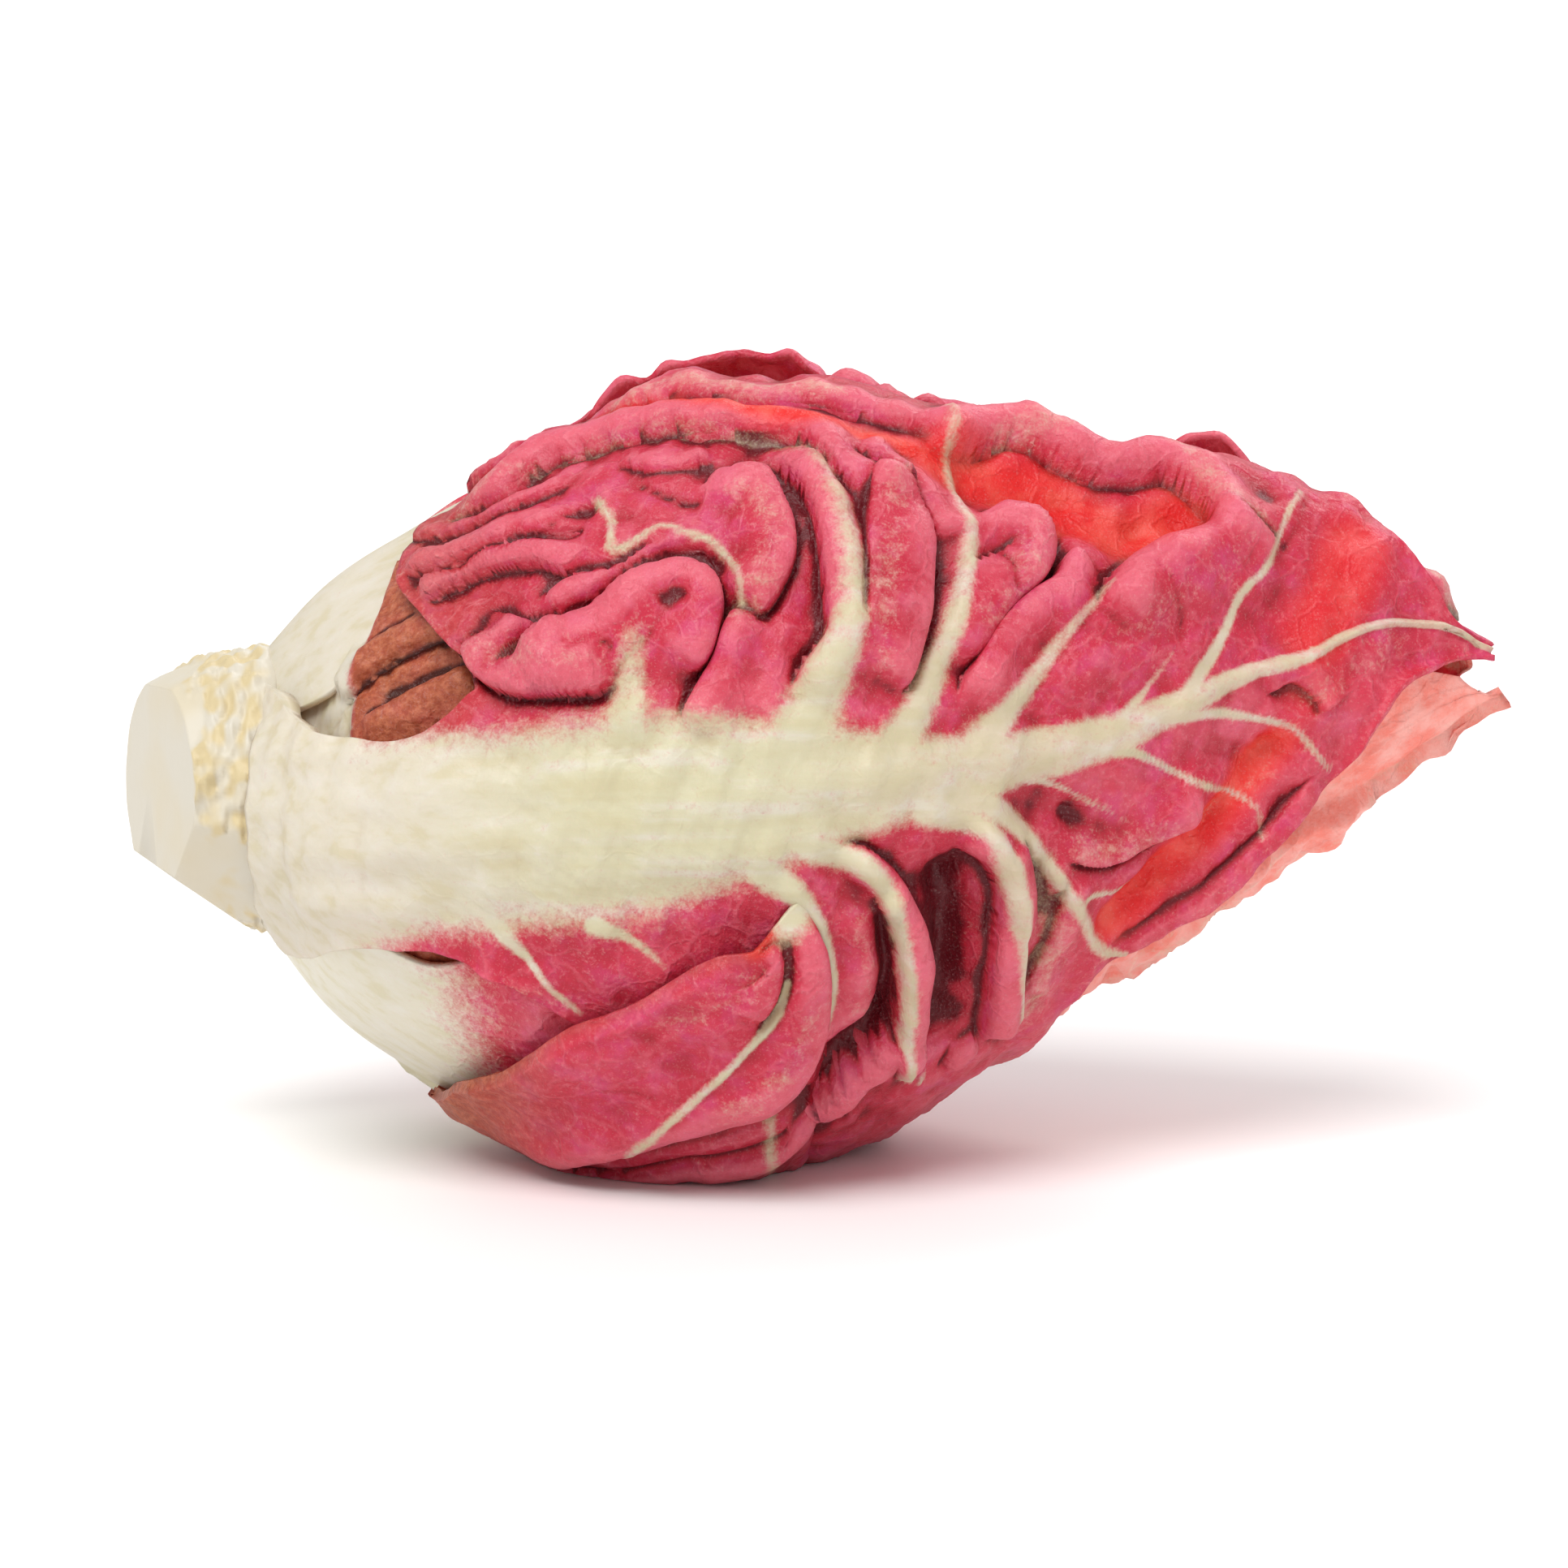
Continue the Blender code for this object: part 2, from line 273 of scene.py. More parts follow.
class Relief:
    """What is raised, sunk and coloured on a grid of spots, added up line by line."""

    def __init__(self, grid, seed, inset=0.0):
        self.shape = grid.shape[:2]
        self.inset = inset
        self.spots = grid.reshape(-1, 3)
        self.normals = outward(grid).reshape(-1, 3)
        self.lift = np.zeros(len(self.spots))
        self.shift = np.zeros((len(self.spots), 3))
        self.rib = np.zeros(len(self.spots))
        self.painted_shade = np.zeros(len(self.spots))
        self.glow = np.zeros(len(self.spots))
        self.where = np.ones(len(self.spots), bool)
        self.random = np.random.default_rng(seed)

    def near(self, line, reach):
        """The spots within reach of a line's box, and their places along and across it."""
        low, high = line.min(0) - reach, line.max(0) + reach
        chosen = np.flatnonzero(((self.spots > low) & (self.spots < high)).all(1) & self.where)
        return chosen, off_line(line, self.spots[chosen], self.normals[chosen])

    def fold(self, points, height, wide=4.0, steep=1, roll=1.7, lean=0.35, ends=0.12, shadow=1.0):
        """A raised fold along a line. It slopes up gently on one side, rolls over in a quarter round that ends at the
        line, and drops into a crease on the steep side (1 is the left), leaning over it a little. Shade is painted
        into the crease, as much as shadow says."""
        line = drawn(points, self.inset)
        chosen, (side, away, along, left) = self.near(line, 3 * wide)
        q = side * steep
        fade = soft(along, -0.01, ends) * soft(1 - along, -0.01, ends)
        gentle = np.exp(-((np.minimum(q + roll, 0) / wide) ** 2))
        quarter = np.sqrt(np.clip(1 - (np.clip(q + roll, 0, roll) / roll) ** 2, 0, 1))
        crease = np.where(q > 0, np.exp(-q / (0.8 * roll)), 0)
        self.lift[chosen] += height * fade * (gentle * quarter - 0.5 * crease)
        push = lean * height * fade * np.exp(-(((q + 0.4 * roll) / (0.5 * roll)) ** 2))
        self.shift[chosen] += (push * steep)[:, None] * left
        # Painted shade along the crease.
        self.painted_shade[chosen] += 0.75 * shadow * fade * np.exp(-(((q - 0.35) / 1.0) ** 2)) * (q > -0.5)

    def groove(self, points, depth, wide=1.0, shadow=0.6):
        """A sharp crease pressed in along a line, with rounded shoulders, and shade painted along it."""
        line = drawn(points, self.inset)
        chosen, (_, away, along, _) = self.near(line, 4 * wide)
        fade = soft(along, -0.01, 0.15) * soft(1 - along, -0.01, 0.15)
        self.lift[chosen] -= depth * fade * np.exp(-away / wide)
        # Painted shade along the crease.
        self.painted_shade[chosen] += shadow * fade * np.exp(-((away / (0.8 * wide)) ** 2))

    def hollow(self, points, depth, wide, shadow=0.0):
        """A broad trough (or, with a negative depth, a swelling) along a line, with shade painted in it as much as
        shadow says.
        """
        line = drawn(points, self.inset)
        chosen, (_, away, _, _) = self.near(line, 2.5 * wide)
        press = np.exp(-((away / wide) ** 2))
        self.lift[chosen] -= depth * press
        # Painted shade in the trough.
        self.painted_shade[chosen] += shadow * press

    def vein(self, points, half_widths, height, strength=1.0, end=0.75, edge=3, grow=0.22):
        """A cream rib along a line: half widths at its points, how high it stands, how strongly it is coloured at its
        start and its end, how crisp its edges are, and the share of its length over which it rises."""
        line = drawn(points, self.inset)
        widths = np.array(half_widths, float)
        chosen, (_, away, along, _) = self.near(line, 3 * widths.max() + 1)
        half = np.interp(along, np.linspace(0, 1, len(widths)), widths)
        share = strength + (end - strength) * along
        rise = height * soft(along, -0.02, grow) * (0.3 + 0.7 * half / widths.max()) * share
        self.lift[chosen] += rise * np.exp(-((away / half) ** 2))
        mask = np.exp(-((away / (1.1 * half + 0.15)) ** edge))
        self.rib[chosen] = np.maximum(self.rib[chosen], mask * share)

    def lit(self, points, wide, strength=1.0):
        """Painted light: where light from behind would come through the blade, a red glow painted into its colour."""
        line = drawn(points, self.inset)
        chosen, (_, away, _, _) = self.near(line, 2 * wide)
        self.glow[chosen] = np.maximum(self.glow[chosen], strength * np.exp(-((away / wide) ** 4)))

    def rumple(self, size, height):
        """Random soft bumps of one size: waves in a few random directions, multiplied in pairs."""
        turn = self.random.normal(size=(6, 3))
        turn /= np.linalg.norm(turn, axis=1, keepdims=True)
        phase = self.random.uniform(0, 2 * math.pi, 6)
        waves = np.sin(self.spots @ turn.T * (2 * math.pi / size) + phase)
        self.lift += height * (waves[:, 0] * waves[:, 1] + waves[:, 2] * waves[:, 3] + waves[:, 4] * waves[:, 5])

    def surface(self):
        """The spots after everything was raised, sunk and pushed, never through the table."""
        moved = self.spots + self.lift[:, None] * self.normals + self.shift
        moved[:, 2] = np.maximum(moved[:, 2], RESTING)
        return moved.reshape(*self.shape, 3)

    def shade(self):
        """0 to 1 for painted shade and painted highlight: low in creases, high on crests, from how each spot stands
        against its neighbourhood and from the shade painted along lines.
        """
        lift = self.lift.reshape(self.shape)
        fine, broad = lift - smoothed(lift, 8), lift - smoothed(lift, 60)
        return np.clip(0.5 + 0.8 * fine + 0.2 * broad - 0.5 * self.painted_shade.reshape(self.shape), 0, 1)


def rim_of(rows, columns):
    """Indices of a grid's rim, once round."""
    index = np.arange(rows * columns).reshape(rows, columns)
    return np.concatenate([index[:-1, 0], index[-1, :-1], index[:0:-1, -1], index[0, :0:-1]])


def closed_sheet(name, grid, thickness, tissue):
    """A leaf's mesh from the grid of its outer skin: the skin, a back on every second row and column pushed in by
    the thickness, and a rim that joins them. tissue is four numbers at each spot, kept as a point colour."""
    rows, columns = grid.shape[:2]
    normals = outward(grid)
    for axis in range(3):
        normals[..., axis] = smoothed(normals[..., axis], 3)
    back = (grid - thickness[..., None] * normals)[::2, ::2]
    back[..., 2] = np.maximum(back[..., 2], RESTING / 2)
    spots = np.concatenate([grid.reshape(-1, 3), back.reshape(-1, 3)])
    front_index = np.arange(rows * columns).reshape(rows, columns)
    back_rows, back_columns = back.shape[:2]
    back_index = rows * columns + np.arange(back_rows * back_columns).reshape(back_rows, back_columns)

    def quads(index, flip):
        a, b, c, d = index[:-1, :-1], index[1:, :-1], index[1:, 1:], index[:-1, 1:]
        order = (d, c, b, a) if flip else (a, b, c, d)
        return np.stack([corner.ravel() for corner in order], axis=1)

    outer = rim_of(rows, columns)
    inner = rows * columns + rim_of(back_rows, back_columns)
    here, halfway, there = outer[::2], outer[1::2], np.roll(outer[::2], -1)
    inner_next = np.roll(inner, -1)
    rim = np.concatenate([
        np.stack([here, inner, halfway], axis=1),
        np.stack([inner, inner_next, halfway], axis=1),
        np.stack([halfway, inner_next, there], axis=1),
    ])
    four = np.concatenate([quads(front_index, False), quads(back_index, True)])
    mesh = bpy.data.meshes.new(name)
    mesh.vertices.add(len(spots))
    mesh.vertices.foreach_set("co", (spots * MM).ravel())
    mesh.loops.add(four.size + rim.size)
    mesh.loops.foreach_set("vertex_index", np.concatenate([four.ravel(), rim.ravel()]).astype(np.int32))
    mesh.polygons.add(len(four) + len(rim))
    starts = np.concatenate([np.arange(len(four)) * 4, four.size + np.arange(len(rim)) * 3])
    mesh.polygons.foreach_set("loop_start", starts.astype(np.int32))
    mesh.update(calc_edges=True)
    colour = np.concatenate([tissue.reshape(-1, 4), tissue[::2, ::2].reshape(-1, 4)])
    layer = mesh.attributes.new("tissue", "FLOAT_COLOR", "POINT")
    layer.data.foreach_set("color", colour.astype(np.float32).ravel())
    mesh.validate()
    return mesh


def placed(name, mesh, material, *nodes):
    """Makes the piece, shades it smooth, rides it on the head and lets it stand for its CAD nodes."""
    piece = bpy.data.objects.new(name, mesh)
    bpy.context.scene.collection.objects.link(piece)
    mesh.shade_smooth()
    mesh.materials.append(material)
    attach(piece, "root")
    if nodes:
        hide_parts(*nodes)
    return piece


def joined(name, meshes):
    """One mesh from several, with their point colours."""
    made = []
    for index, mesh in enumerate(meshes):
        made.append(bpy.data.objects.new(f"{name}_{index}", mesh))
        bpy.context.scene.collection.objects.link(made[-1])
    with bpy.context.temp_override(active_object=made[0], selected_editable_objects=made):
        bpy.ops.object.join()
    mesh = made[0].data
    bpy.data.objects.remove(made[0])
    return mesh


WHITE = (0.82, 0.785, 0.64, 1)
GREENISH = (0.755, 0.735, 0.50, 1)
CREAM = (0.77, 0.685, 0.50, 1)
PINK = (0.70, 0.034, 0.078, 1)
ROSE = (0.93, 0.21, 0.28, 1)
CRIMSON = (0.56, 0.022, 0.046, 1)
PAINTED_SHADE_WINE = (0.16, 0.005, 0.012, 1)
VIOLET = (0.78, 0.085, 0.25, 1)
BROWN = (0.42, 0.09, 0.035, 1)
RUSSET = (0.66, 0.21, 0.10, 1)
GLOW_SCARLET = (0.92, 0.022, 0.018, 1)
GLOW_ORANGE = (1.0, 0.12, 0.08, 1)


def leaf_tissue(name, brown_all=0.0, pale=0.0, see_through=0.3):
    """Leaf tissue. The point colour says where ribs (red channel), painted shade in creases and painted highlight on
    crests (green), browning (blue) and painted light from behind (alpha) are. Noise mottles the blade and feathers the
    edge between cream and pink."""
    made = bpy.data.materials.new(name)
    nodes, links, shader, output = shader_of(made)

    def node(kind, **values):
        fresh = nodes.new(kind)
        for key, value in values.items():
            if key in fresh.inputs:
                fresh.inputs[key].default_value = value
            else:
                setattr(fresh, key, value)
        return fresh

    def noise(vector, scale, detail=3.0, roughness=0.55):
        fresh = node("ShaderNodeTexNoise", Scale=scale, Detail=detail, Roughness=roughness)
        links.new(vector, fresh.inputs["Vector"])
        return fresh.outputs["Fac"]

    def ramp(value, low, high):
        fresh = node("ShaderNodeMapRange", interpolation_type="SMOOTHSTEP")
        fresh.inputs["From Min"].default_value = low
        fresh.inputs["From Max"].default_value = high
        links.new(value, fresh.inputs["Value"])
        return fresh.outputs["Result"]

    def maths(kind, a, b):
        fresh = node("ShaderNodeMath", operation=kind)
        for socket, value in zip(fresh.inputs, (a, b)):
            if isinstance(value, (int, float)):
                socket.default_value = value
            else:
                links.new(value, socket)
        return fresh.outputs[0]

    def mixed(share, a, b):
        fresh = node("ShaderNodeMix", data_type="RGBA")
        for socket, value in zip((fresh.inputs[0], fresh.inputs[6], fresh.inputs[7]), (share, a, b)):
            if isinstance(value, (tuple, float, int)):
                socket.default_value = value
            else:
                links.new(value, socket)
        return fresh.outputs[2]

    place = node("ShaderNodeTexCoord").outputs["Object"]
    tissue = node("ShaderNodeAttribute", attribute_name="tissue")
    split = node("ShaderNodeSeparateColor")
    links.new(tissue.outputs["Color"], split.inputs[0])
    rib, shade, brown = split.outputs[0], split.outputs[1], split.outputs[2]
    glow = tissue.outputs["Alpha"]

    grain = noise(place, 3600, 2.0)
    fleck = noise(place, 1100, 4.0, 0.65)
    mottle = noise(place, 230, 4.0, 0.6)
    patch = noise(place, 70, 2.0)

    net = node("ShaderNodeTexVoronoi", feature="DISTANCE_TO_EDGE", Scale=210.0)
    warp = node("ShaderNodeVectorMath", operation="ADD")
    wobble = node("ShaderNodeVectorMath", operation="SCALE", Scale=0.0035)
    stir = node("ShaderNodeTexNoise", Scale=320.0, Detail=2.0)
    links.new(place, stir.inputs["Vector"])
    links.new(stir.outputs["Color"], wobble.inputs[0])
    links.new(place, warp.inputs[0])
    links.new(wobble.outputs[0], warp.inputs[1])
    links.new(warp.outputs[0], net.inputs["Vector"])
    fine_veins = maths("SUBTRACT", 1.0, ramp(net.outputs["Distance"], 0.0, 0.09))

    blade = mixed(maths("MULTIPLY", ramp(mottle, 0.45, 0.68), 0.6), PINK, VIOLET)
    blade = mixed(maths("MULTIPLY", ramp(patch, 0.5, 0.72), 0.42), blade, ROSE)
    blade = mixed(maths("MULTIPLY", maths("SUBTRACT", 1.0, ramp(patch, 0.3, 0.5)), 0.5), blade, CRIMSON)
    # Painted highlight: crests lighter, towards rose.
    blade = mixed(maths("MULTIPLY", ramp(shade, 0.55, 0.95), 0.62), blade, ROSE)
    blade = mixed(maths("MULTIPLY", fine_veins, 0.25), blade, ROSE)
    blade = mixed(maths("MULTIPLY", ramp(fleck, 0.5, 0.72), 0.42), blade, ROSE)
    blade = mixed(maths("MULTIPLY", ramp(maths("SUBTRACT", 1.0, fleck), 0.5, 0.75), 0.32), blade, CRIMSON)
    # Painted shade: creases darker, towards crimson and then nearly black wine.
    blade = mixed(maths("SUBTRACT", 1.0, ramp(shade, 0.2, 0.5)), blade, CRIMSON)
    blade = mixed(maths("SUBTRACT", 1.0, ramp(shade, 0.0, 0.28)), blade, PAINTED_SHADE_WINE)
    # Painted light from behind: a scarlet to orange glow where the point colour's alpha says.
    painted_glow = mixed(ramp(mottle, 0.4, 0.7), GLOW_SCARLET, GLOW_ORANGE)
    blade = mixed(glow, blade, painted_glow)
    browned = mixed(ramp(fleck, 0.35, 0.7), BROWN, RUSSET)
    # Painted shade: browned parts nearly black in creases.
    browned = mixed(maths("SUBTRACT", 1.0, ramp(shade, 0.05, 0.4)), browned, (0.08, 0.012, 0.004, 1))
    share = maths("MULTIPLY", maths("MAXIMUM", brown, brown_all), maths("ADD", 0.6, maths("MULTIPLY", mottle, 0.7)))
    blade = mixed(share, blade, browned)

    streaky = node("ShaderNodeMapping")
    streaky.inputs["Scale"].default_value = (0.08, 1, 1)
    links.new(place, streaky.inputs["Vector"])
    streaks = noise(streaky.outputs[0], 420, 4.0)
    length = node("ShaderNodeSeparateXYZ")
    links.new(place, length.inputs[0])
    # Towards the tip, pale leaves turn pale orange: partly their own paleness, partly painted light from behind.
    pale_and_painted_glow = mixed(ramp(mottle, 0.35, 0.65), (0.98, 0.27, 0.20, 1), (1.0, 0.50, 0.43, 1))
    blade = mixed(maths("MULTIPLY", pale, ramp(length.outputs[0], 0.0, 0.03)), blade, pale_and_painted_glow)
    cream = mixed(ramp(length.outputs[0], -0.052, -0.02), WHITE, GREENISH)
    cream = mixed(ramp(length.outputs[0], -0.012, 0.03), cream, CREAM)
    cream = mixed(maths("MULTIPLY", ramp(streaks, 0.48, 0.66), 0.5), cream, (0.70, 0.64, 0.38, 1))
    cream = mixed(maths("MULTIPLY", ramp(maths("SUBTRACT", 1.0, streaks), 0.5, 0.7), 0.6), cream, (0.86, 0.84, 0.74, 1))
    # Painted shade: cream darker in creases.
    cream = mixed(maths("MULTIPLY", maths("SUBTRACT", 1.0, ramp(shade, 0.1, 0.45)), 0.5), cream, (0.55, 0.42, 0.22, 1))
    feather = maths("ADD", rib, maths("MULTIPLY", maths("SUBTRACT", fleck, 0.5), 0.75))
    feather = maths("ADD", feather, maths("MULTIPLY", maths("SUBTRACT", grain, 0.5), 0.4))
    feather = maths("ADD", feather, maths("MULTIPLY", maths("SUBTRACT", streaks, 0.5), 0.5))
    colour = mixed(ramp(feather, 0.1, 0.9), blade, cream)
    # Pale speckles over the grain: painted glints on the skin's tiny bumps.
    glint_speckle = maths("MULTIPLY", ramp(grain, 0.55, 0.72), 0.12)
    colour = mixed(glint_speckle, colour, (0.95, 0.66, 0.66, 1))
    links.new(colour, shader.inputs["Base Color"])

    shader.inputs["Roughness"].default_value = 0.4
    shader.inputs["Specular IOR Level"].default_value = 0.4
    shader.inputs["Sheen Weight"].default_value = 0.03
    shader.inputs["Sheen Roughness"].default_value = 0.4
    shader.inputs["Sheen Tint"].default_value = (1.0, 0.9, 0.94, 1)
    relief = maths("ADD", maths("MULTIPLY", grain, 0.5), maths("MULTIPLY", fleck, 0.9))
    relief = maths("ADD", relief, maths("MULTIPLY", mottle, 1.6))
    relief = maths("ADD", relief, maths("MULTIPLY", fine_veins, 0.5))
    relief = maths("MULTIPLY", relief, maths("SUBTRACT", 1.0, maths("MULTIPLY", rib, 0.75)))
    bump = node("ShaderNodeBump", Strength=0.5, Distance=0.00035)
    links.new(relief, bump.inputs["Height"])
    links.new(bump.outputs["Normal"], shader.inputs["Normal"])

    through_light = node("ShaderNodeBsdfTranslucent")
    links.new(mixed(0.25, colour, (0.95, 0.12, 0.08, 1)), through_light.inputs["Color"])
    both = node("ShaderNodeMixShader")
    both.inputs["Fac"].default_value = see_through
    links.new(shader.outputs["BSDF"], both.inputs[1])
    links.new(through_light.outputs["BSDF"], both.inputs[2])
    links.new(both.outputs["Shader"], output.inputs["Surface"])
    return made


def tissue_of(relief, brown=0.0):
    """The four numbers of a relief's spots: rib, painted shade and highlight, browning and painted light from behind.
    """
    shape = relief.shape
    brown = np.broadcast_to(brown, relief.rib.shape)
    return np.stack([relief.rib.reshape(shape), relief.shade(), np.clip(brown, 0, 1).reshape(shape),
                     np.clip(relief.glow, 0, 1).reshape(shape)], axis=-1)


# The midrib: its line, and its half width at each point of it.
MIDRIB = [(-62, 38), (-46.5, 37.2), (-32.6, 38.1), (-18.7, 39.9), (-9.4, 41.3), (0, 42.7), (9.2, 43.7), (18.5, 45.1),
          (27.8, 47), (35.2, 49.4), (42.6, 52.7), (50, 56), (57, 58.2), (64, 61.2), (70, 61.2), (77, 58.3)]
MIDRIB_HALF = [14, 10.7, 10.2, 10.6, 8.8, 6.8, 4.6, 3.4, 2.6, 2.0, 1.4, 0.8, 0.5, 0.4, 0.34, 0.3]

# Lines across the leaf above and below the midrib: the place on the midrib, two spots on the blade, and its edge.
ABOVE = [
    (-62, front(-62, 43), front(-62, 49), front(-62, 54.5)),
    (-57, front(-57, 41.5), front(-57, 46), front(-57.5, 50.4)),
    (-50, front(-50, 40.5), front(-50, 44.5), front(-50, 48.1)),
    (-43, front(-43, 40.7), front(-43, 45), front(-43, 48.8)),
    (-38, front(-38, 42), front(-38, 47.5), front(-38.3, 52.6)),
    (-35, front(-35, 43.5), front(-35.5, 49), front(-36.8, 54.2)),
    (-33, front(-33, 44.5), front(-34, 51), front(-38, 56.5)),
    (-31, front(-31.5, 46), front(-33.2, 54.5), front(-40.5, 58.5)),
    (-29, front(-30, 48), front(-33.5, 59), front(-43.6, 62)),
    (-27, front(-28.5, 50), front(-34.5, 63), front(-46.6, 66)),
    (-25, front(-27, 52), front(-34, 67.5), front(-44.6, 71.5)),
    (-22.5, front(-25, 54), front(-31, 71), around(-40, 80)),
    (-19, front(-21, 56), front(-25, 73), around(-31, 86)),
    (-14, front(-15, 57), front(-16, 74), around(-20, 88)),
    (-8, front(-8.5, 58), front(-8, 74), around(-9, 86)),
    (-1, front(-0.5, 58), front(0, 73.5), around(0, 84)),
    (8, front(8, 59), front(8.5, 73), around(9, 84)),
    (17, front(17, 59), front(18, 72), around(19, 84)),
    (26, front(26.5, 59), front(27.5, 71), around(29, 86)),
    (35, front(35.5, 60), front(37, 71), around(40, 92)),
    (43, front(44, 62), front(45, 71), around(50, 96)),
    (51, front(52, 63), front(54, 70.5), around(57, 90)),
    (58, front(59, 65), front(61, 69.5), around(62.5, 84)),
    (64, front(65, 63.5), front(66, 66.5), front(67, 69)),
    (69, front(69, 62.5), front(69.7, 64), front(70.3, 65)),
    (73, front(73, 60.5), front(73.4, 61), front(73.8, 61)),
    (77, front(77, 58.5), front(77.1, 58.6), front(77.2, 58.7)),
]
BELOW = [
    (-62, front(-62, 33), front(-62, 29), front(-62, 26.8)),
    (-55, front(-55, 31), front(-55, 27), front(-55, 24.2)),
    (-45, front(-45, 32), front(-45, 28), front(-45, 24.7)),
    (-38, front(-38, 32), front(-38, 27.5), front(-38, 23.2)),
    (-30, front(-30, 32), front(-30, 25.5), front(-30, 18.8)),
    (-22, front(-22, 32), front(-22, 23), front(-22, 13)),
    (-14, front(-14, 31), front(-14, 21), front(-15, 9)),
    (-8, front(-7, 31), front(-6, 20), around(-11, -92)),
    (-3, front(-1, 31), front(-0.5, 17), around(-3, -108)),
    (3, front(4, 30), front(4.5, 15), around(5, -108)),
    (9, front(10, 30), front(11, 16), around(12, -100)),
    (16, front(17, 32), front(18.5, 19), around(19, -92)),
    (23, front(24, 35), front(25.5, 25), front(27, 17)),
    (31, front(31.5, 38), front(32, 30), front(33, 23.3)),
    (38, front(38.5, 43), front(39.5, 35), front(40, 27.6)),
    (46, front(46.5, 46.5), front(47, 40), front(47.3, 33.3)),
    (54, front(54.5, 50), front(55, 45), front(55.3, 40.3)),
    (61, front(61, 54.5), front(61, 50), front(60.8, 46)),
    (67, front(66.8, 58), front(66.5, 56), front(66, 54.4)),
    (72, front(72, 59), front(72.2, 58), front(72.4, 57.2)),
    (77, front(77, 58), front(77.1, 57.8), front(77.2, 57.6)),
]


def front_leaf_rows(place):
    """The seven marks of each cross line, from the lower edge over the midrib to the upper edge."""
    below, above = read_lines(BELOW, place), read_lines(ABOVE, place)
    midrib_x = np.array([x for x, _ in MIDRIB])
    midrib_angle = np.array([front(x, height)[1] for x, height in MIDRIB])
    middle = np.stack([place, through(place, midrib_x, midrib_angle)], axis=-1)[:, None]
    return np.concatenate([below[:, ::-1], middle, above], axis=1)


FRONT_ROWS, FRONT_COLUMNS = 401, 161
front_places = even_rows(front_leaf_rows, -62, 77, FRONT_ROWS)
front_marks = blend_marks(front_leaf_rows(front_places), np.linspace(0, 1, FRONT_COLUMNS))
front_across = np.broadcast_to(np.linspace(-1, 1, FRONT_COLUMNS), (FRONT_ROWS, FRONT_COLUMNS)).ravel()
front_skin = skin(front_marks[..., 0], front_marks[..., 1])
blade = Relief(front_skin, seed=3)

blade.vein(seen(*MIDRIB), MIDRIB_HALF, 2.6, end=0.7, edge=7, grow=-0.01)
blade.vein(seen((-20.5, 47), (-20.2, 54), (-19.6, 59), (-18.6, 61.4)), (3.4, 1.7, 1.3, 1.1), 1.9, end=0.1)
blade.vein(seen((-2, 47), (1, 54), (3.3, 59), (4, 63), (3.6, 68), (2.4, 74), (0, 78.5), (-4, 81), (-12, 82)),
           (4.0, 2.3, 1.6, 1.3, 1.15, 1.0, 0.8, 0.6, 0.5), 2.0, end=0.35)
blade.vein(seen((8, 46), (11, 50.5), (14.3, 58.5), (16, 64), (17.2, 70), (16.3, 75), (15, 81), (14.5, 84)),
           (3.0, 1.9, 1.2, 1.0, 0.9, 0.8, 0.6, 0.5), 1.6, end=0.5)
blade.vein(seen((18, 47), (22, 52), (25, 56), (28, 60), (32.8, 65)), (2.2, 1.3, 0.9, 0.6, 0.3), 0.9, end=0.5)
blade.vein(seen((42, 53.5), (46, 60), (48, 64.5), (50.5, 67), (52, 70), (53.5, 73.5), (55.3, 76.3)),
           (0.9, 0.5, 0.4, 0.36, 0.32, 0.32, 0.3), 0.4, end=0.6)
blade.vein(seen((34, 50), (37, 53.5), (40, 58)), (0.8, 0.3, 0.15), 0.3, end=0.2)
blade.vein(seen((37, 50.5), (45, 51), (50, 50.4), (54, 49.4), (56, 47.5), (58.5, 44.6)), (1.0, 0.5, 0.36, 0.32, 0.3, 0.25), 0.6, end=0.6)
blade.vein(seen((30, 47), (35, 46.8), (38, 45.7), (42, 43.7), (46, 42.2), (50, 40.5), (50.5, 37.5)),
           (0.9, 0.45, 0.34, 0.3, 0.28, 0.25, 0.25), 0.5, end=0.55)
blade.vein(seen((22, 44), (27, 43), (31, 41), (36, 38.5)), (0.7, 0.25, 0.2, 0.15), 0.3, end=0.3)
blade.vein(seen((14, 42), (19, 41), (22.5, 38.5), (25, 35.5), (28, 31.5), (30, 28.5), (32, 24.8), (34.5, 24.6)),
           (2.0, 1.5, 1.1, 0.9, 0.75, 0.7, 0.6, 0.4), 1.3)
blade.vein(seen((30, 30.6), (33, 31), (37, 31.6)), (0.3, 0.25, 0.15), 0.2)
blade.vein(seen((12, 40.5), (18, 38.8), (20.3, 36), (21.4, 33), (22.2, 28), (22.3, 22), (22.5, 18)),
           (1.8, 1.1, 0.9, 0.75, 0.6, 0.5, 0.4), 1.6)
blade.vein(seen((-1, 36.5), (4, 34.8), (7, 32.2), (8.7, 29), (9.8, 25), (10.2, 20), (9.8, 14), (9.6, 11), (12.3, 10)),
           (1.8, 1.1, 0.75, 0.5, 0.4, 0.38, 0.36, 0.36, 0.36), 1.8, end=0.8)
blade.vein(seen((-6, 34), (-2.5, 31.5), (0, 28.5), (1.4, 25), (2, 21), (1.2, 17), (-1, 13), (-3.6, 9)),
           (2.0, 1.4, 0.8, 0.6, 0.5, 0.45, 0.4, 0.4), 1.6, end=0.7)
blade.vein(seen((-36, 29), (-32, 24), (-29, 20.5), (-26, 17.5)), (1.4, 0.4, 0.35, 0.3), 0.25, end=0.5)
blade.vein(seen((-24, 28), (-20, 26), (-16.5, 23.2)), (1.2, 0.4, 0.3), 0.25, end=0.4)

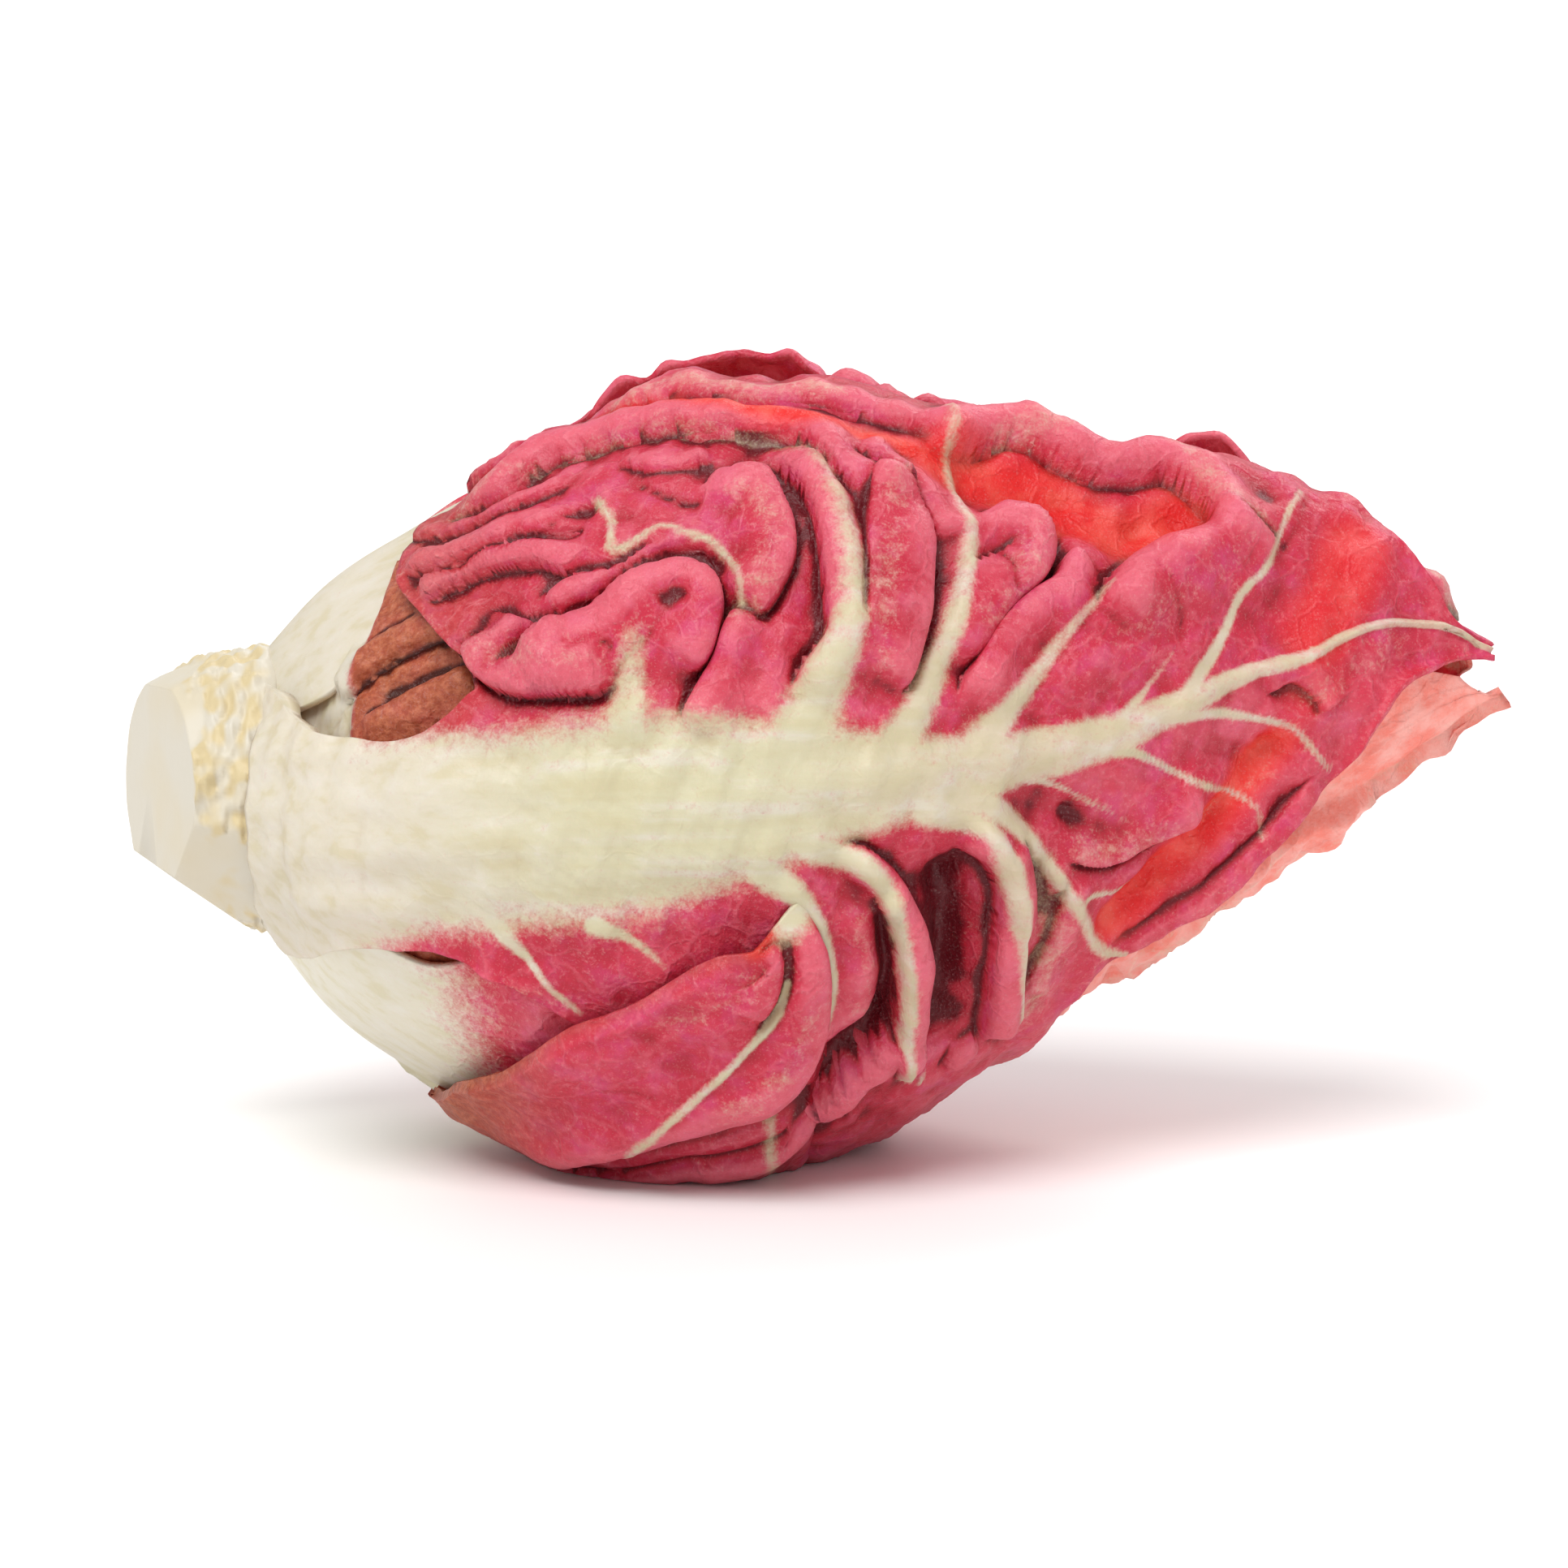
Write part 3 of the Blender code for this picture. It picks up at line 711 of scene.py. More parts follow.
# Folds of the upper lobe, from its upper edge down.
blade.fold(seen((-43, 72), (-35, 75), (-30, 79), (-25, 81), (-18, 82.4), (-10, 82.3), (-3, 81.6), (0, 79.7), (3, 76.5),
                (5, 73)), 2.4, wide=3.2, steep=-1, roll=2.0, lean=0.2)
blade.fold(seen((-46.3, 66.4), (-42, 67), (-38.5, 68.2), (-35, 69.5), (-30, 70.7), (-25, 72)), 1.8, wide=2.2, steep=-1)
blade.fold(seen((-43.5, 63), (-40, 65.5), (-35, 67.2), (-30, 67.4), (-26, 66.2)), 1.8, wide=2.0, steep=-1)
blade.fold(seen((-31, 63), (-28, 65.5), (-25, 66.6), (-22, 67.2), (-20, 68.3), (-17, 70.2)), 1.2, wide=1.6)
blade.fold(seen((-38.6, 59), (-37.2, 55.6), (-33.6, 53.4), (-27, 53.2), (-21.6, 54)), 2.6, wide=3.5, steep=-1, roll=2.2)
blade.fold(seen((3.9, 80), (7.1, 78), (10.4, 75.4), (12.6, 72.6), (13.8, 70)), 1.4, wide=2.2, steep=-1)
blade.fold(seen((-44.5, 74), (-40, 75.8), (-35, 78), (-31, 80.6)), 1.0, wide=1.6, steep=-1, roll=1.0)
blade.fold(seen((-36, 62.6), (-32.5, 61.2), (-29.6, 61), (-27.6, 62)), 1.2, wide=1.8, steep=1, roll=1.0)
blade.fold(seen((-46, 70.4), (-41, 71.2), (-36, 72.8), (-31, 74.6), (-27, 76.6)), 1.0, wide=1.6, steep=-1, roll=1.0)
blade.fold(seen((-22, 79), (-18, 78), (-14, 78.4), (-11, 79.4)), 0.9, wide=2.0, steep=-1, roll=1.2)
blade.groove(seen((-20, 76.6), (-16, 75), (-12, 74)), 0.7, 0.7, shadow=0.3)
blade.groove(seen((-27, 57.4), (-24, 58.6), (-21.6, 58)), 0.6, 0.7, shadow=0.2)
blade.groove(seen((20, 69.5), (22, 67), (22, 64.5)), 0.7, 0.8, shadow=0.25)
blade.groove(seen((38, 66.5), (40.5, 62), (41, 58.6)), 0.5, 0.9, shadow=0.15)
blade.groove(seen((-45, 65.6), (-38, 67.6)), 0.9, 0.7)
blade.groove(seen((-44.5, 69), (-40, 69.8)), 0.8, 0.6)
blade.groove(seen((-34, 70.3), (-30, 71.2), (-27, 73), (-23, 74.4)), 1.2, 0.8)
blade.groove(seen((-36, 55), (-33, 57.5), (-30, 60.3), (-27, 62), (-24, 63.6), (-21, 66), (-18, 68), (-14, 69), (-11, 67.8),
                  (-9.6, 65.5)), 2.2, 1.3)
blade.fold(seen((-33, 56.5), (-30, 59.4), (-25, 62.4), (-20, 65.6), (-17, 66.8), (-14, 67.2), (-11.5, 66.2), (-10.4, 64),
                (-10.6, 61), (-11.6, 57.5), (-13.8, 54.5)), 2.4, wide=4.5, ends=0.08)
blade.fold(seen((-15, 49.5), (-12.4, 54.5), (-10.8, 57.5), (-9.8, 60.5), (-8.4, 63)), 1.8, wide=2.6)
blade.fold(seen((-13.5, 76), (-10, 77.2), (-7, 77.8), (-5, 77.3), (-3.3, 74), (-2.4, 71), (-2.5, 68), (-3.5, 65.5),
                (-5, 63), (-6.8, 61)), 2.2, wide=3.4)
blade.fold(seen((-2.6, 53.5), (-0.6, 56.5), (1.4, 59.5), (1.5, 62.5), (1.2, 66), (0.6, 71), (-0.6, 75), (-2.4, 77.6),
                (-5.4, 79.6)), 2.4, wide=3.0, steep=1)
blade.vein(seen((-24, 74.5), (-22.5, 72.5), (-22.3, 69), (-20, 70), (-17, 71.8), (-14, 71), (-11, 69.8), (-8.6, 66.5),
                (-8, 63)), (0.5, 0.5, 0.45, 0.4, 0.4, 0.4, 0.4, 0.4, 0.3), 0.7, strength=0.7, end=0.6)
blade.hollow(seen((-16, 63.5), (-15, 64)), 1.2, 1.6, shadow=0.5)
blade.hollow(seen((-36, 61.5), (-35.6, 61.5)), 0.8, 1.6, shadow=0.2)

# Between the second and the fourth rib: overlapping puffs, a deep slit, and the pocket that light shines into.
blade.hollow(seen((7, 60), (8, 68), (8, 75)), -1.6, 4.0)
blade.fold(seen((9, 79), (11, 75), (12.6, 71), (12.8, 66), (12.2, 61), (10.8, 56), (9.6, 53)), 2.2, wide=3.4)
blade.fold(seen((5.2, 60), (5.6, 66), (5.6, 72), (6.6, 78)), 1.2, wide=2.0, steep=1)
blade.fold(seen((18, 73.4), (22, 74), (25.4, 72.4), (26.8, 69), (25.2, 66), (22, 63), (19.4, 59.5), (16.8, 54.5)), 2.2,
           wide=4.0)
blade.fold(seen((15.6, 52.5), (18, 57), (21, 61.4), (24.4, 64.4), (27, 66), (28.4, 68.4), (30.4, 69.4)), 2.4, wide=2.6)
blade.hollow(seen((27.6, 73), (27.4, 70), (26.6, 67.4)), 1.6, 1.3, shadow=0.8)
blade.hollow(seen((18, 77.5), (24, 77), (30, 74), (35, 71.5), (40, 73.5)), 3.2, 4.2)
blade.fold(seen((13, 80.8), (17.5, 81), (21.5, 81.4), (26, 80.2), (30, 78.6), (35, 77.6), (40, 77.8), (43.6, 76.2), (45, 74.2),
                (44.4, 72.3), (41.5, 71.3), (38, 70), (35, 68), (33, 65.6), (31, 62.6)), 3.0, wide=3.6,
           steep=-1, roll=2.2, lean=0.15, ends=0.05, shadow=0.5)
blade.fold(seen((-24, 84.6), (-18, 85.8), (-13, 86.2), (-7, 85.8), (-2, 85.6), (3, 85), (8, 83.6), (14, 82)), 1.6,
           wide=3.0, steep=-1, roll=2.2, lean=0.1, shadow=0.5)
blade.hollow(seen((33, 76), (36, 74)), 0.6, 2.0)
blade.fold(seen((45.5, 74.6), (48, 72.8), (51, 71), (52.4, 70.2)), 1.0, wide=1.4)
blade.hollow(seen((47, 76.5), (51, 76)), 1.4, 3.0)
blade.groove(seen((52.5, 69), (55, 73), (56.2, 77)), 0.5, 1.0, shadow=0.2)
blade.hollow(seen((31, 58), (38, 63), (42, 67)), -1.6, 5.0)
blade.hollow(seen((52, 60), (57, 66), (59, 71)), 1.2, 4.0)
blade.hollow(seen((50, 62), (53, 65)), 0.8, 2.5, shadow=0.2)
blade.fold(seen((51, 53), (54, 54.6), (56.5, 53), (57.5, 51)), 1.0, wide=2.0, steep=-1)

# Below the midrib: ribs that run down over deep pockets to the lower edge.
blade.fold(seen((3, 36.8), (6, 35.6), (9, 33), (11, 29.5), (12.3, 26), (12.7, 22), (12.2, 18), (11.8, 14.5), (12, 12)), 2.0,
           wide=1.8)
blade.fold(seen((15.5, 36.2), (18.5, 35.2), (20.2, 32.6), (20.7, 29), (20.3, 25), (20, 21), (19.5, 17), (18.6, 14)), 2.6,
           wide=1.9, steep=-1)
blade.hollow(seen((15, 32), (16, 27), (15.5, 21), (15, 16)), 4.8, 3.4, shadow=0.95)
blade.hollow(seen((17, 25), (17, 20)), 1.4, 2.0, shadow=0.4)
blade.fold(seen((14.5, 10.8), (16.4, 13.4), (18.6, 14.6)), 1.2, wide=1.0)
blade.fold(seen((6.4, 31.4), (8, 28.6), (9.1, 25), (9.4, 20), (9.2, 14), (9, 10.5)), 1.6, wide=1.4, steep=-1)
blade.hollow(seen((8, 28), (8.5, 22), (8, 17)), 2.4, 1.4, shadow=0.7)
blade.hollow(seen((4.5, 27), (5, 22), (5, 18)), -0.8, 2.6)
blade.hollow(seen((-4, 8), (0, 10.8), (4, 13.6), (7.6, 16.4)), 3.0, 2.2, shadow=1.1)
blade.fold(seen((-4, 5.8), (-1, 7.4), (1.6, 9.6), (4, 11.8), (6.4, 13), (8.6, 16)), 2.4, wide=2.4, steep=1)
blade.groove(seen((-1, 6.6), (1, 5.6), (4, 6)), 0.9, 0.7)
blade.fold(seen((23, 37.5), (24, 34), (24.4, 31), (25, 28)), 1.2, wide=1.2, steep=1)
blade.groove(seen((24.6, 35), (25.8, 31.5), (26, 28)), 1.1, 1.1)
blade.fold(seen((28.6, 33), (27.4, 29), (26, 25), (24.4, 22), (23, 20)), 1.0, wide=1.6, steep=-1)
blade.hollow(seen((24, 41), (29, 39), (34, 37)), 1.8, 3.2, shadow=0.12)
blade.hollow(seen((29, 39.5), (29.6, 39)), 0.8, 1.5, shadow=0.3)
blade.fold(seen((28, 34.6), (33, 34.2), (37, 36), (41, 37.8), (44, 38.6)), 1.6, wide=2.4, steep=-1)
blade.hollow(seen((34, 28.5), (39, 32.5), (44, 37.5), (48, 42), (52, 46.5)), 2.6, 2.6, shadow=0.1)
blade.hollow(seen((43, 47), (48, 46.6)), 1.6, 3.0, shadow=0.2)
blade.fold(seen((33, 24.8), (38, 28), (43, 31.5), (48, 35.5), (53, 40), (57, 44.5)), 1.2, wide=1.6, steep=1)

# Paler, violet pink stretches on bulges and rolls: painted highlight, laid on as faint ribs of no height.
for points, width, strength in (
    (((26, 32), (26.4, 26), (25, 21), (24, 18)), 2.4, 0.34),
    (((-22, 85.6), (-14, 87), (-6, 86.8), (2, 86.2)), 1.6, 0.34),
    (((-40, 73.4), (-32, 77.6), (-24, 81), (-12, 82.2), (-2, 80.6)), 1.0, 0.3),
    (((-8, 75), (-5, 72), (-5.6, 67), (-8, 62)), 2.0, 0.26),
    (((7, 56), (7, 62), (8, 70), (9, 76)), 1.6, 0.28),
    (((20, 62), (23, 66), (24, 70)), 2.2, 0.22),
    (((30, 35.6), (35, 36.4), (40, 38.4)), 1.6, 0.3),
    (((44, 38), (48, 41), (52, 44)), 0.8, 0.2),
    (((20, 81.6), (30, 80.6), (40, 79.4), (46, 75.6), (51, 71.6)), 1.4, 0.32),
    (((35, 60), (42, 66), (47, 70)), 2.6, 0.16),
    (((-36, 58), (-30, 56.4), (-24, 56)), 1.8, 0.22),
    (((5, 28), (6, 22), (5, 16)), 1.4, 0.2),
    (((56, 52), (60, 56), (66, 59)), 2.0, 0.2),
):
    blade.vein(seen(*points), [width, width], 0.0, strength=strength, end=strength, edge=2)

for size, height in ((23, 0.3), (11, 0.22), (5.5, 0.12), (2.9, 0.05)):
    blade.rumple(size, height)

# The edge curls and waves a little, and lifts where it laps over its neighbours.
edge = np.abs(front_across) ** 7 * soft(blade.spots[:, 0], -44, -34)
blade.lift += edge * (0.7 + 0.5 * np.sin(blade.spots[:, 0] * 0.31) + 0.25 * np.sin(blade.spots[:, 0] * 0.83 + 1))

# Painted light from behind: a red glow where the blade stands clear of the head.
blade.lit(seen((14, 79.4), (20, 78.6), (26, 77.4), (31, 74.4), (36, 72.6), (41, 74.6)), 4.2, 0.88)
blade.lit(seen((-24, 84), (-18, 85), (-10, 84.4), (-2, 83), (6, 81.6), (11, 80.6)), 1.7, 1.0)
blade.lit(seen((33.6, 27.4), (38, 31), (43, 36), (47, 40.5), (50.5, 44.5), (53, 47.5)), 2.7, 0.88)
blade.lit(seen((57, 60), (59.5, 65), (61.5, 70)), 4.4, 0.65)
blade.lit(seen((55, 52), (58, 55)), 3.0, 0.3)
blade.lit(seen((-3, 27), (-2, 23), (-2, 19)), 1.6, 0.4)

blade.rib = np.maximum(blade.rib, 1 - soft(blade.spots[:, 0], -52, -46))
blade.rib = np.maximum(blade.rib, 0.12 * soft(np.abs(front_across), 0.9, 0.97))
left_brown = 0.35 * (1 - soft(blade.spots[:, 0], -45, -30)) * (front_across > 0.5)
front_thickness = 0.7 + 1.6 * (1 - soft(blade.spots[:, 0], -62, 10)) * blade.rib
blade_mesh = closed_sheet("front_leaf_blade", blade.surface(), front_thickness.reshape(blade.shape),
                          tissue_of(blade, left_brown))

# The lobe folded forward at the base: from its free upper edge, down over a fold, and under the head.
LOBE = [
    (0, front(3, 33), front(3.2, 24), front(2, 13), around(2, -112)),
    (1, front(-1, 31), front(0.8, 24), front(0, 13), around(-1, -112)),
    (2, front(-4.2, 28.6), front(-1.5, 22), front(-2.2, 12), around(-5, -112)),
    (3, front(-6.6, 26), front(-5, 19.5), front(-5.5, 10), around(-10, -112)),
    (4, front(-11, 25.1), front(-10, 17.6), front(-10.4, 8.4), around(-14, -112)),
    (5, front(-16, 22.3), front(-15.2, 15.6), front(-15.6, 6.6), around(-19, -110)),
    (6, front(-20, 19.8), front(-20, 13.4), front(-20.4, 5.2), around(-24, -108)),
    (7, front(-28, 16.2), front(-27.5, 11), front(-27, 4.2), around(-29, -104)),
    (8, front(-34.5, 11.4), front(-34, 8.2), front(-33.6, 4.4), around(-34, -98)),
    (9, front(-40.5, 9), front(-40, 7.6), front(-39.6, 6), around(-39, -93)),
    (10, front(-43.8, 7.4), front(-43.7, 7.2), front(-43.6, 7), around(-43.4, -89)),
]
LOBE_ROWS, LOBE_COLUMNS = 131, 115
lobe_keys = even_rows(lambda key: read_lines(LOBE, key), 0, 10, LOBE_ROWS)
lobe_marks = blend_marks(read_lines(LOBE, lobe_keys), np.linspace(0, 1, LOBE_COLUMNS))
lobe = Relief(skin(lobe_marks[..., 0], lobe_marks[..., 1])[::-1, ::-1], seed=5)
lobe_key = np.repeat(lobe_keys[::-1], LOBE_COLUMNS)
lobe_down = np.tile(np.linspace(1, 0, LOBE_COLUMNS), LOBE_ROWS)

lobe.vein(seen((-3.4, 22.5), (-4.6, 19), (-7.2, 16.2), (-12, 12), (-17, 8.5), (-21, 6), (-23.5, 3.6)),
          (0.25, 0.32, 0.36, 0.34, 0.32, 0.3, 0.25), 0.6, end=0.6)
lobe.fold(seen((-1, 30), (0.2, 26), (0.7, 22), (0.6, 18), (-0.4, 15), (-3, 12), (-8, 9.6), (-15, 7.4), (-22, 5.2), (-28, 3.4),
               (-32, 2.6)), 2.2, wide=3.0, lean=0.6)
lobe.hollow(seen((-2, 9), (-8, 7.2), (-15, 5.2), (-22, 3.4)), 2.6, 1.5, shadow=1.0)
lobe.fold(seen((-30, 1.6), (-25, 1.4), (-16, 2.8), (-9, 4), (-4, 5.6), (0, 8)), 1.6, wide=2.0, steep=1)
lobe.groove(seen((-3.2, 27.5), (-3, 24), (-4, 20.6), (-7, 16.8)), 1.2, 0.9)
lobe.fold(seen((-6.5, 25.4), (-4.4, 26.4), (-3.9, 24), (-4.6, 21), (-6.4, 18)), 1.0, wide=1.8, steep=1)
lobe.hollow(seen((-15.5, 19.4), (-13.4, 19.6)), 0.5, 1.6, shadow=0.12)
lobe.hollow(seen((-16, 13.6), (-14.4, 14)), 0.5, 1.6, shadow=0.12)
lobe.hollow(seen((-19.6, 17.2), (-18, 16.6)), 0.4, 1.0, shadow=0.15)
lobe.groove(seen((-24, 11.2), (-20, 11.2), (-17, 10.8)), 0.4, 0.6, shadow=0.2)
lobe.hollow(seen((-9, 22), (-11, 18)), -0.7, 3.0)
lobe.hollow(seen((-26, 12), (-22, 12.5)), -0.6, 3.0)
for size, height in ((17, 0.25), (7, 0.14), (3.5, 0.06)):
    lobe.rumple(size, height)
# Paler stretches on the lobe's bulges: painted highlight.
for points, width, strength in ((((-5, 24), (-10, 21), (-16, 18)), 1.8, 0.2), (((-1, 20), (-4, 14), (-10, 10.6)), 1.0, 0.26)):
    lobe.vein(seen(*points), [width, width], 0.0, strength=strength, end=strength, edge=2)
lobe_stand = 2.9 * soft(lobe_key, 0.6, 3.2) * soft(10.4 - lobe_key, 0.2, 5) + 0.5
under = soft(lobe_down, 0.72, 1.0)
lobe.lift += lobe_stand * (1 - under) - 2.4 * (1 - soft(lobe_key, 0.0, 1.4)) - 0.6 * under
upper_edge = 1 - soft(lobe_down, 0.0, 0.09)
lobe.lift -= 1.3 * upper_edge * soft(lobe_key, 3, 4.5)
lobe.rib = np.maximum(lobe.rib, (1 - soft(lobe_key, 1.6, 2.9)) * (1 - soft(lobe_down, 0.02, 0.2)))
lobe.rib = np.maximum(lobe.rib, 0.6 * np.exp(-(((lobe.spots[:, 0] + 5) / 0.8) ** 2)) * soft(lobe_down, 0.62, 0.7) * (1 - under))
# Painted light from behind at the top of the lobe.
lobe.lit(seen((-6.6, 26.6), (-5.2, 28)), 1.6, 0.8)
lobe_brown = 0.9 * soft(-lobe.spots[:, 0], 25, 41) + 0.25 * upper_edge
lobe_mesh = closed_sheet("front_leaf_lobe", lobe.surface(), np.full(lobe.shape, 0.8), tissue_of(lobe, lobe_brown))

outer_tissue = leaf_tissue("radicchio_leaf")
front_leaf = placed("front_leaf_finished", joined("front_leaf", [blade_mesh, lobe_mesh]), outer_tissue, "front_leaf")

# ---------------------------------------------------------------------------------------------------------------
# The other outer leaves: the back leaf, and the upper and lower leaves that show beside the front leaf.
# Each is a blade with a midrib and side veins in pairs, puffed up between them, with a wavy edge and a smooth
# cream base. They grow from the core, one over the other.


def leaf_sheet(name, middle, reach, length, inset, rows, columns, seed, pairs=6, puff=1.6, ruffle=1.2, base=0.18,
               rib_half=6.0, crinkle=1.0):
    """A leaf grown by rule. Its angle is the middle plus the reach on each side, its X runs from start to end and
    sweeps back at the edges. The skin is puffed up by how far it is from the nearest vein."""
    start, end = length
    along = np.linspace(0, 1, rows)[:, None]
    across = np.linspace(-1, 1, columns)[None]
    places, below, above = np.array(reach, float).T
    side = np.where(across < 0, through(along, places, below), through(along, places, above))
    angle = np.radians(middle + across * side)
    x = start + (end - start) * along - 5.0 * soft(along, 0.1, 0.9) * across**2
    x = np.clip(x, start, end)
    grid = skin(x, angle, inset)
    relief = Relief(grid, seed, inset)
    u, v = np.broadcast_to(along, x.shape).ravel(), np.broadcast_to(across, x.shape).ravel()
    draw = relief.random
    wide = np.radians(side) * (through(x, STATION_X, STATION_DEPTH) - inset)
    off_rib = (np.abs(v) * wide.ravel())
    half = rib_half * (1 - 0.85 * u) + 0.3
    relief.lift += 2.0 * (1 - 0.7 * u) * np.exp(-((off_rib / half) ** 2))
    relief.rib = 1 - soft(off_rib / half, 0.6, 1.15)
    nearest = np.full(len(u), 9.0)
    for way in (-1, 1):
        for pair in range(pairs):
            root = base - 0.06 + (0.9 - base) * (pair + draw.uniform(-0.3, 0.3)) / pairs
            slope = draw.uniform(0.3, 0.42)
            bow = draw.uniform(0.3, 0.9)
            run = np.clip(v * way, 0, 1)
            path = root + slope * run**0.8 + bow * 0.1 * run**2 + 0.012 * np.sin(run * 8 + pair + way)
            gap = np.abs(u - path) * (end - start) * 0.9
            gap = np.where(v * way > -0.02, gap, 9.0)
            thin = (1.5 - 1.2 * run**0.5) * (1 - 0.4 * root)
            relief.rib = np.maximum(relief.rib, (1 - soft(gap / (thin + 0.2), 0.4, 1.5)) * (1 - 0.6 * soft(run, 0.2, 1)))
            relief.lift += 0.8 * (1 - 0.6 * run) * np.exp(-((gap / (0.9 * thin)) ** 2))
            nearest = np.minimum(nearest, gap)
    grown = soft(u, base - 0.06, base + 0.1)
    relief.lift += puff * grown * (1 - np.exp(-((nearest / 4.0) ** 2))) * soft(off_rib, 2, 9)
    relief.lift -= 0.9 * puff * grown * (1 - soft(nearest, 0.6, 3.0)) * soft(off_rib, 4, 14) * (1 - relief.rib)
    for size, height in ((19, 0.6), (9, 0.5), (4.6, 0.2)):
        before = relief.lift.copy()
        relief.rumple(size, height * crinkle)
        relief.lift = before + (relief.lift - before) * grown
    edge = np.abs(v) ** 6 * grown
    wave = np.sin(u * 19 + 2 * np.sin(u * 9 + seed)) + 0.4 * np.sin(u * 43 + seed)
    relief.lift += ruffle * edge * wave
    relief.rib *= 1 - 0.6 * soft(u, 0.75, 1)
    relief.rib = np.maximum(relief.rib, 1 - soft(u + 0.05 * np.abs(v), base - 0.06, base + 0.06))
    return relief, u, v


def finished_leaf(node, relief, brown, thickness, material):
    """Closes a leaf's sheet, places it and lets it stand for its CAD node."""
    mesh = closed_sheet(node, relief.surface(), np.full(relief.shape, thickness), tissue_of(relief, brown))
    piece = placed(f"{node}_finished", mesh, material, node)
    return piece


back_reach = [(0, 52, 52), (0.2, 58, 60), (0.5, 72, 84), (0.8, 66, 72), (1, 30, 30)]
back, back_u, back_v = leaf_sheet("back_leaf", 168, back_reach, (-62, 76), 0.4, 221, 181, seed=11)
# Painted light from behind near the tip of the back leaf.
back.lit([around(60, 150), around(72, 150)], 8.0, 0.5)
finished_leaf("back_leaf", back, 0.0, 0.8, outer_tissue)

# Where the front leaf's two edges run, so that the leaves beneath stay clear of its pockets.
FRONT_LOW_EDGE = np.array([line[3] for line in BELOW])
FRONT_HIGH_EDGE = np.array([front(-62, 54.5), front(-57.5, 50.4), front(-50, 48.1), front(-47.6, 58), front(-46, 68),
                            around(-40, 80), around(0, 84), around(57, 88), front(67, 69), front(73.5, 62)])

upper_reach = [(0, 52, 50), (0.05, 54, 54), (0.085, 47.5, 56), (0.115, 43, 58), (0.17, 50, 62), (0.3, 70, 72),
               (0.5, 84, 82), (0.8, 80, 80), (1, 40, 40)]
upper, upper_u, upper_v = leaf_sheet("upper_leaf", 94, upper_reach, (-61.5, 74), 4.4, 161, 161, seed=21, base=0.24)
upper_angle = np.radians(94) - np.radians(60) * np.abs(upper_v) * (upper_v < 0)
upper_cover = soft(np.interp(upper.spots[:, 0], *FRONT_HIGH_EDGE.T) - upper_angle, 0.05, 0.35) * (upper.spots[:, 1] < 5)
upper.lift = upper.lift * (1 - 0.6 * upper_cover) - 3.0 * upper_cover * soft(upper.spots[:, 0], -48, -40)
finished_leaf("upper_leaf", upper, 0.0, 0.8, outer_tissue)

lower_reach = [(0, 50, 50), (0.05, 56, 58), (0.08, 58, 62), (0.13, 60, 62.5), (0.166, 62, 67), (0.3, 72, 75),
               (0.5, 84, 86), (0.8, 80, 95), (1, 40, 95)]
pale_tissue = leaf_tissue("radicchio_leaf_pale", pale=0.85, see_through=0.12)
lower, lower_u, lower_v = leaf_sheet("lower_leaf", -90, lower_reach, (-61.5, 79.5), 3.6, 201, 181, seed=31, base=0.2, ruffle=0.35)
lower_angle = np.arctan2(lower.spots[:, 2] - 41, -1.15 * lower.spots[:, 1])
lower_cover = soft(lower_angle - np.interp(lower.spots[:, 0], *FRONT_LOW_EDGE.T), 0.0, 0.3) * (lower.spots[:, 1] < 0)
lower_cover *= soft(lower.spots[:, 0], -35, -20)
lower.lift = lower.lift * (1 - 0.7 * lower_cover) - 4.2 * lower_cover * (1 - 0.6 * soft(lower.spots[:, 0], 50, 66))
lower.rib *= 1 - 0.7 * soft(lower.spots[:, 0], 5, 30)
# Painted light from behind on the lower leaf towards its tip.
lower.lit([around(45, -60), around(60, -50), around(76, -40)], 14.0, 0.8)
finished_leaf("lower_leaf", lower, 0.0, 0.8, pale_tissue)

# ---------------------------------------------------------------------------------------------------------------
# The inner leaves and the heart.
# Six pairs of younger leaves, each pair turned on from the one outside it and ending sooner, round a closed bud.
# They are thinner and browner, and show through the gaps beside the midrib.

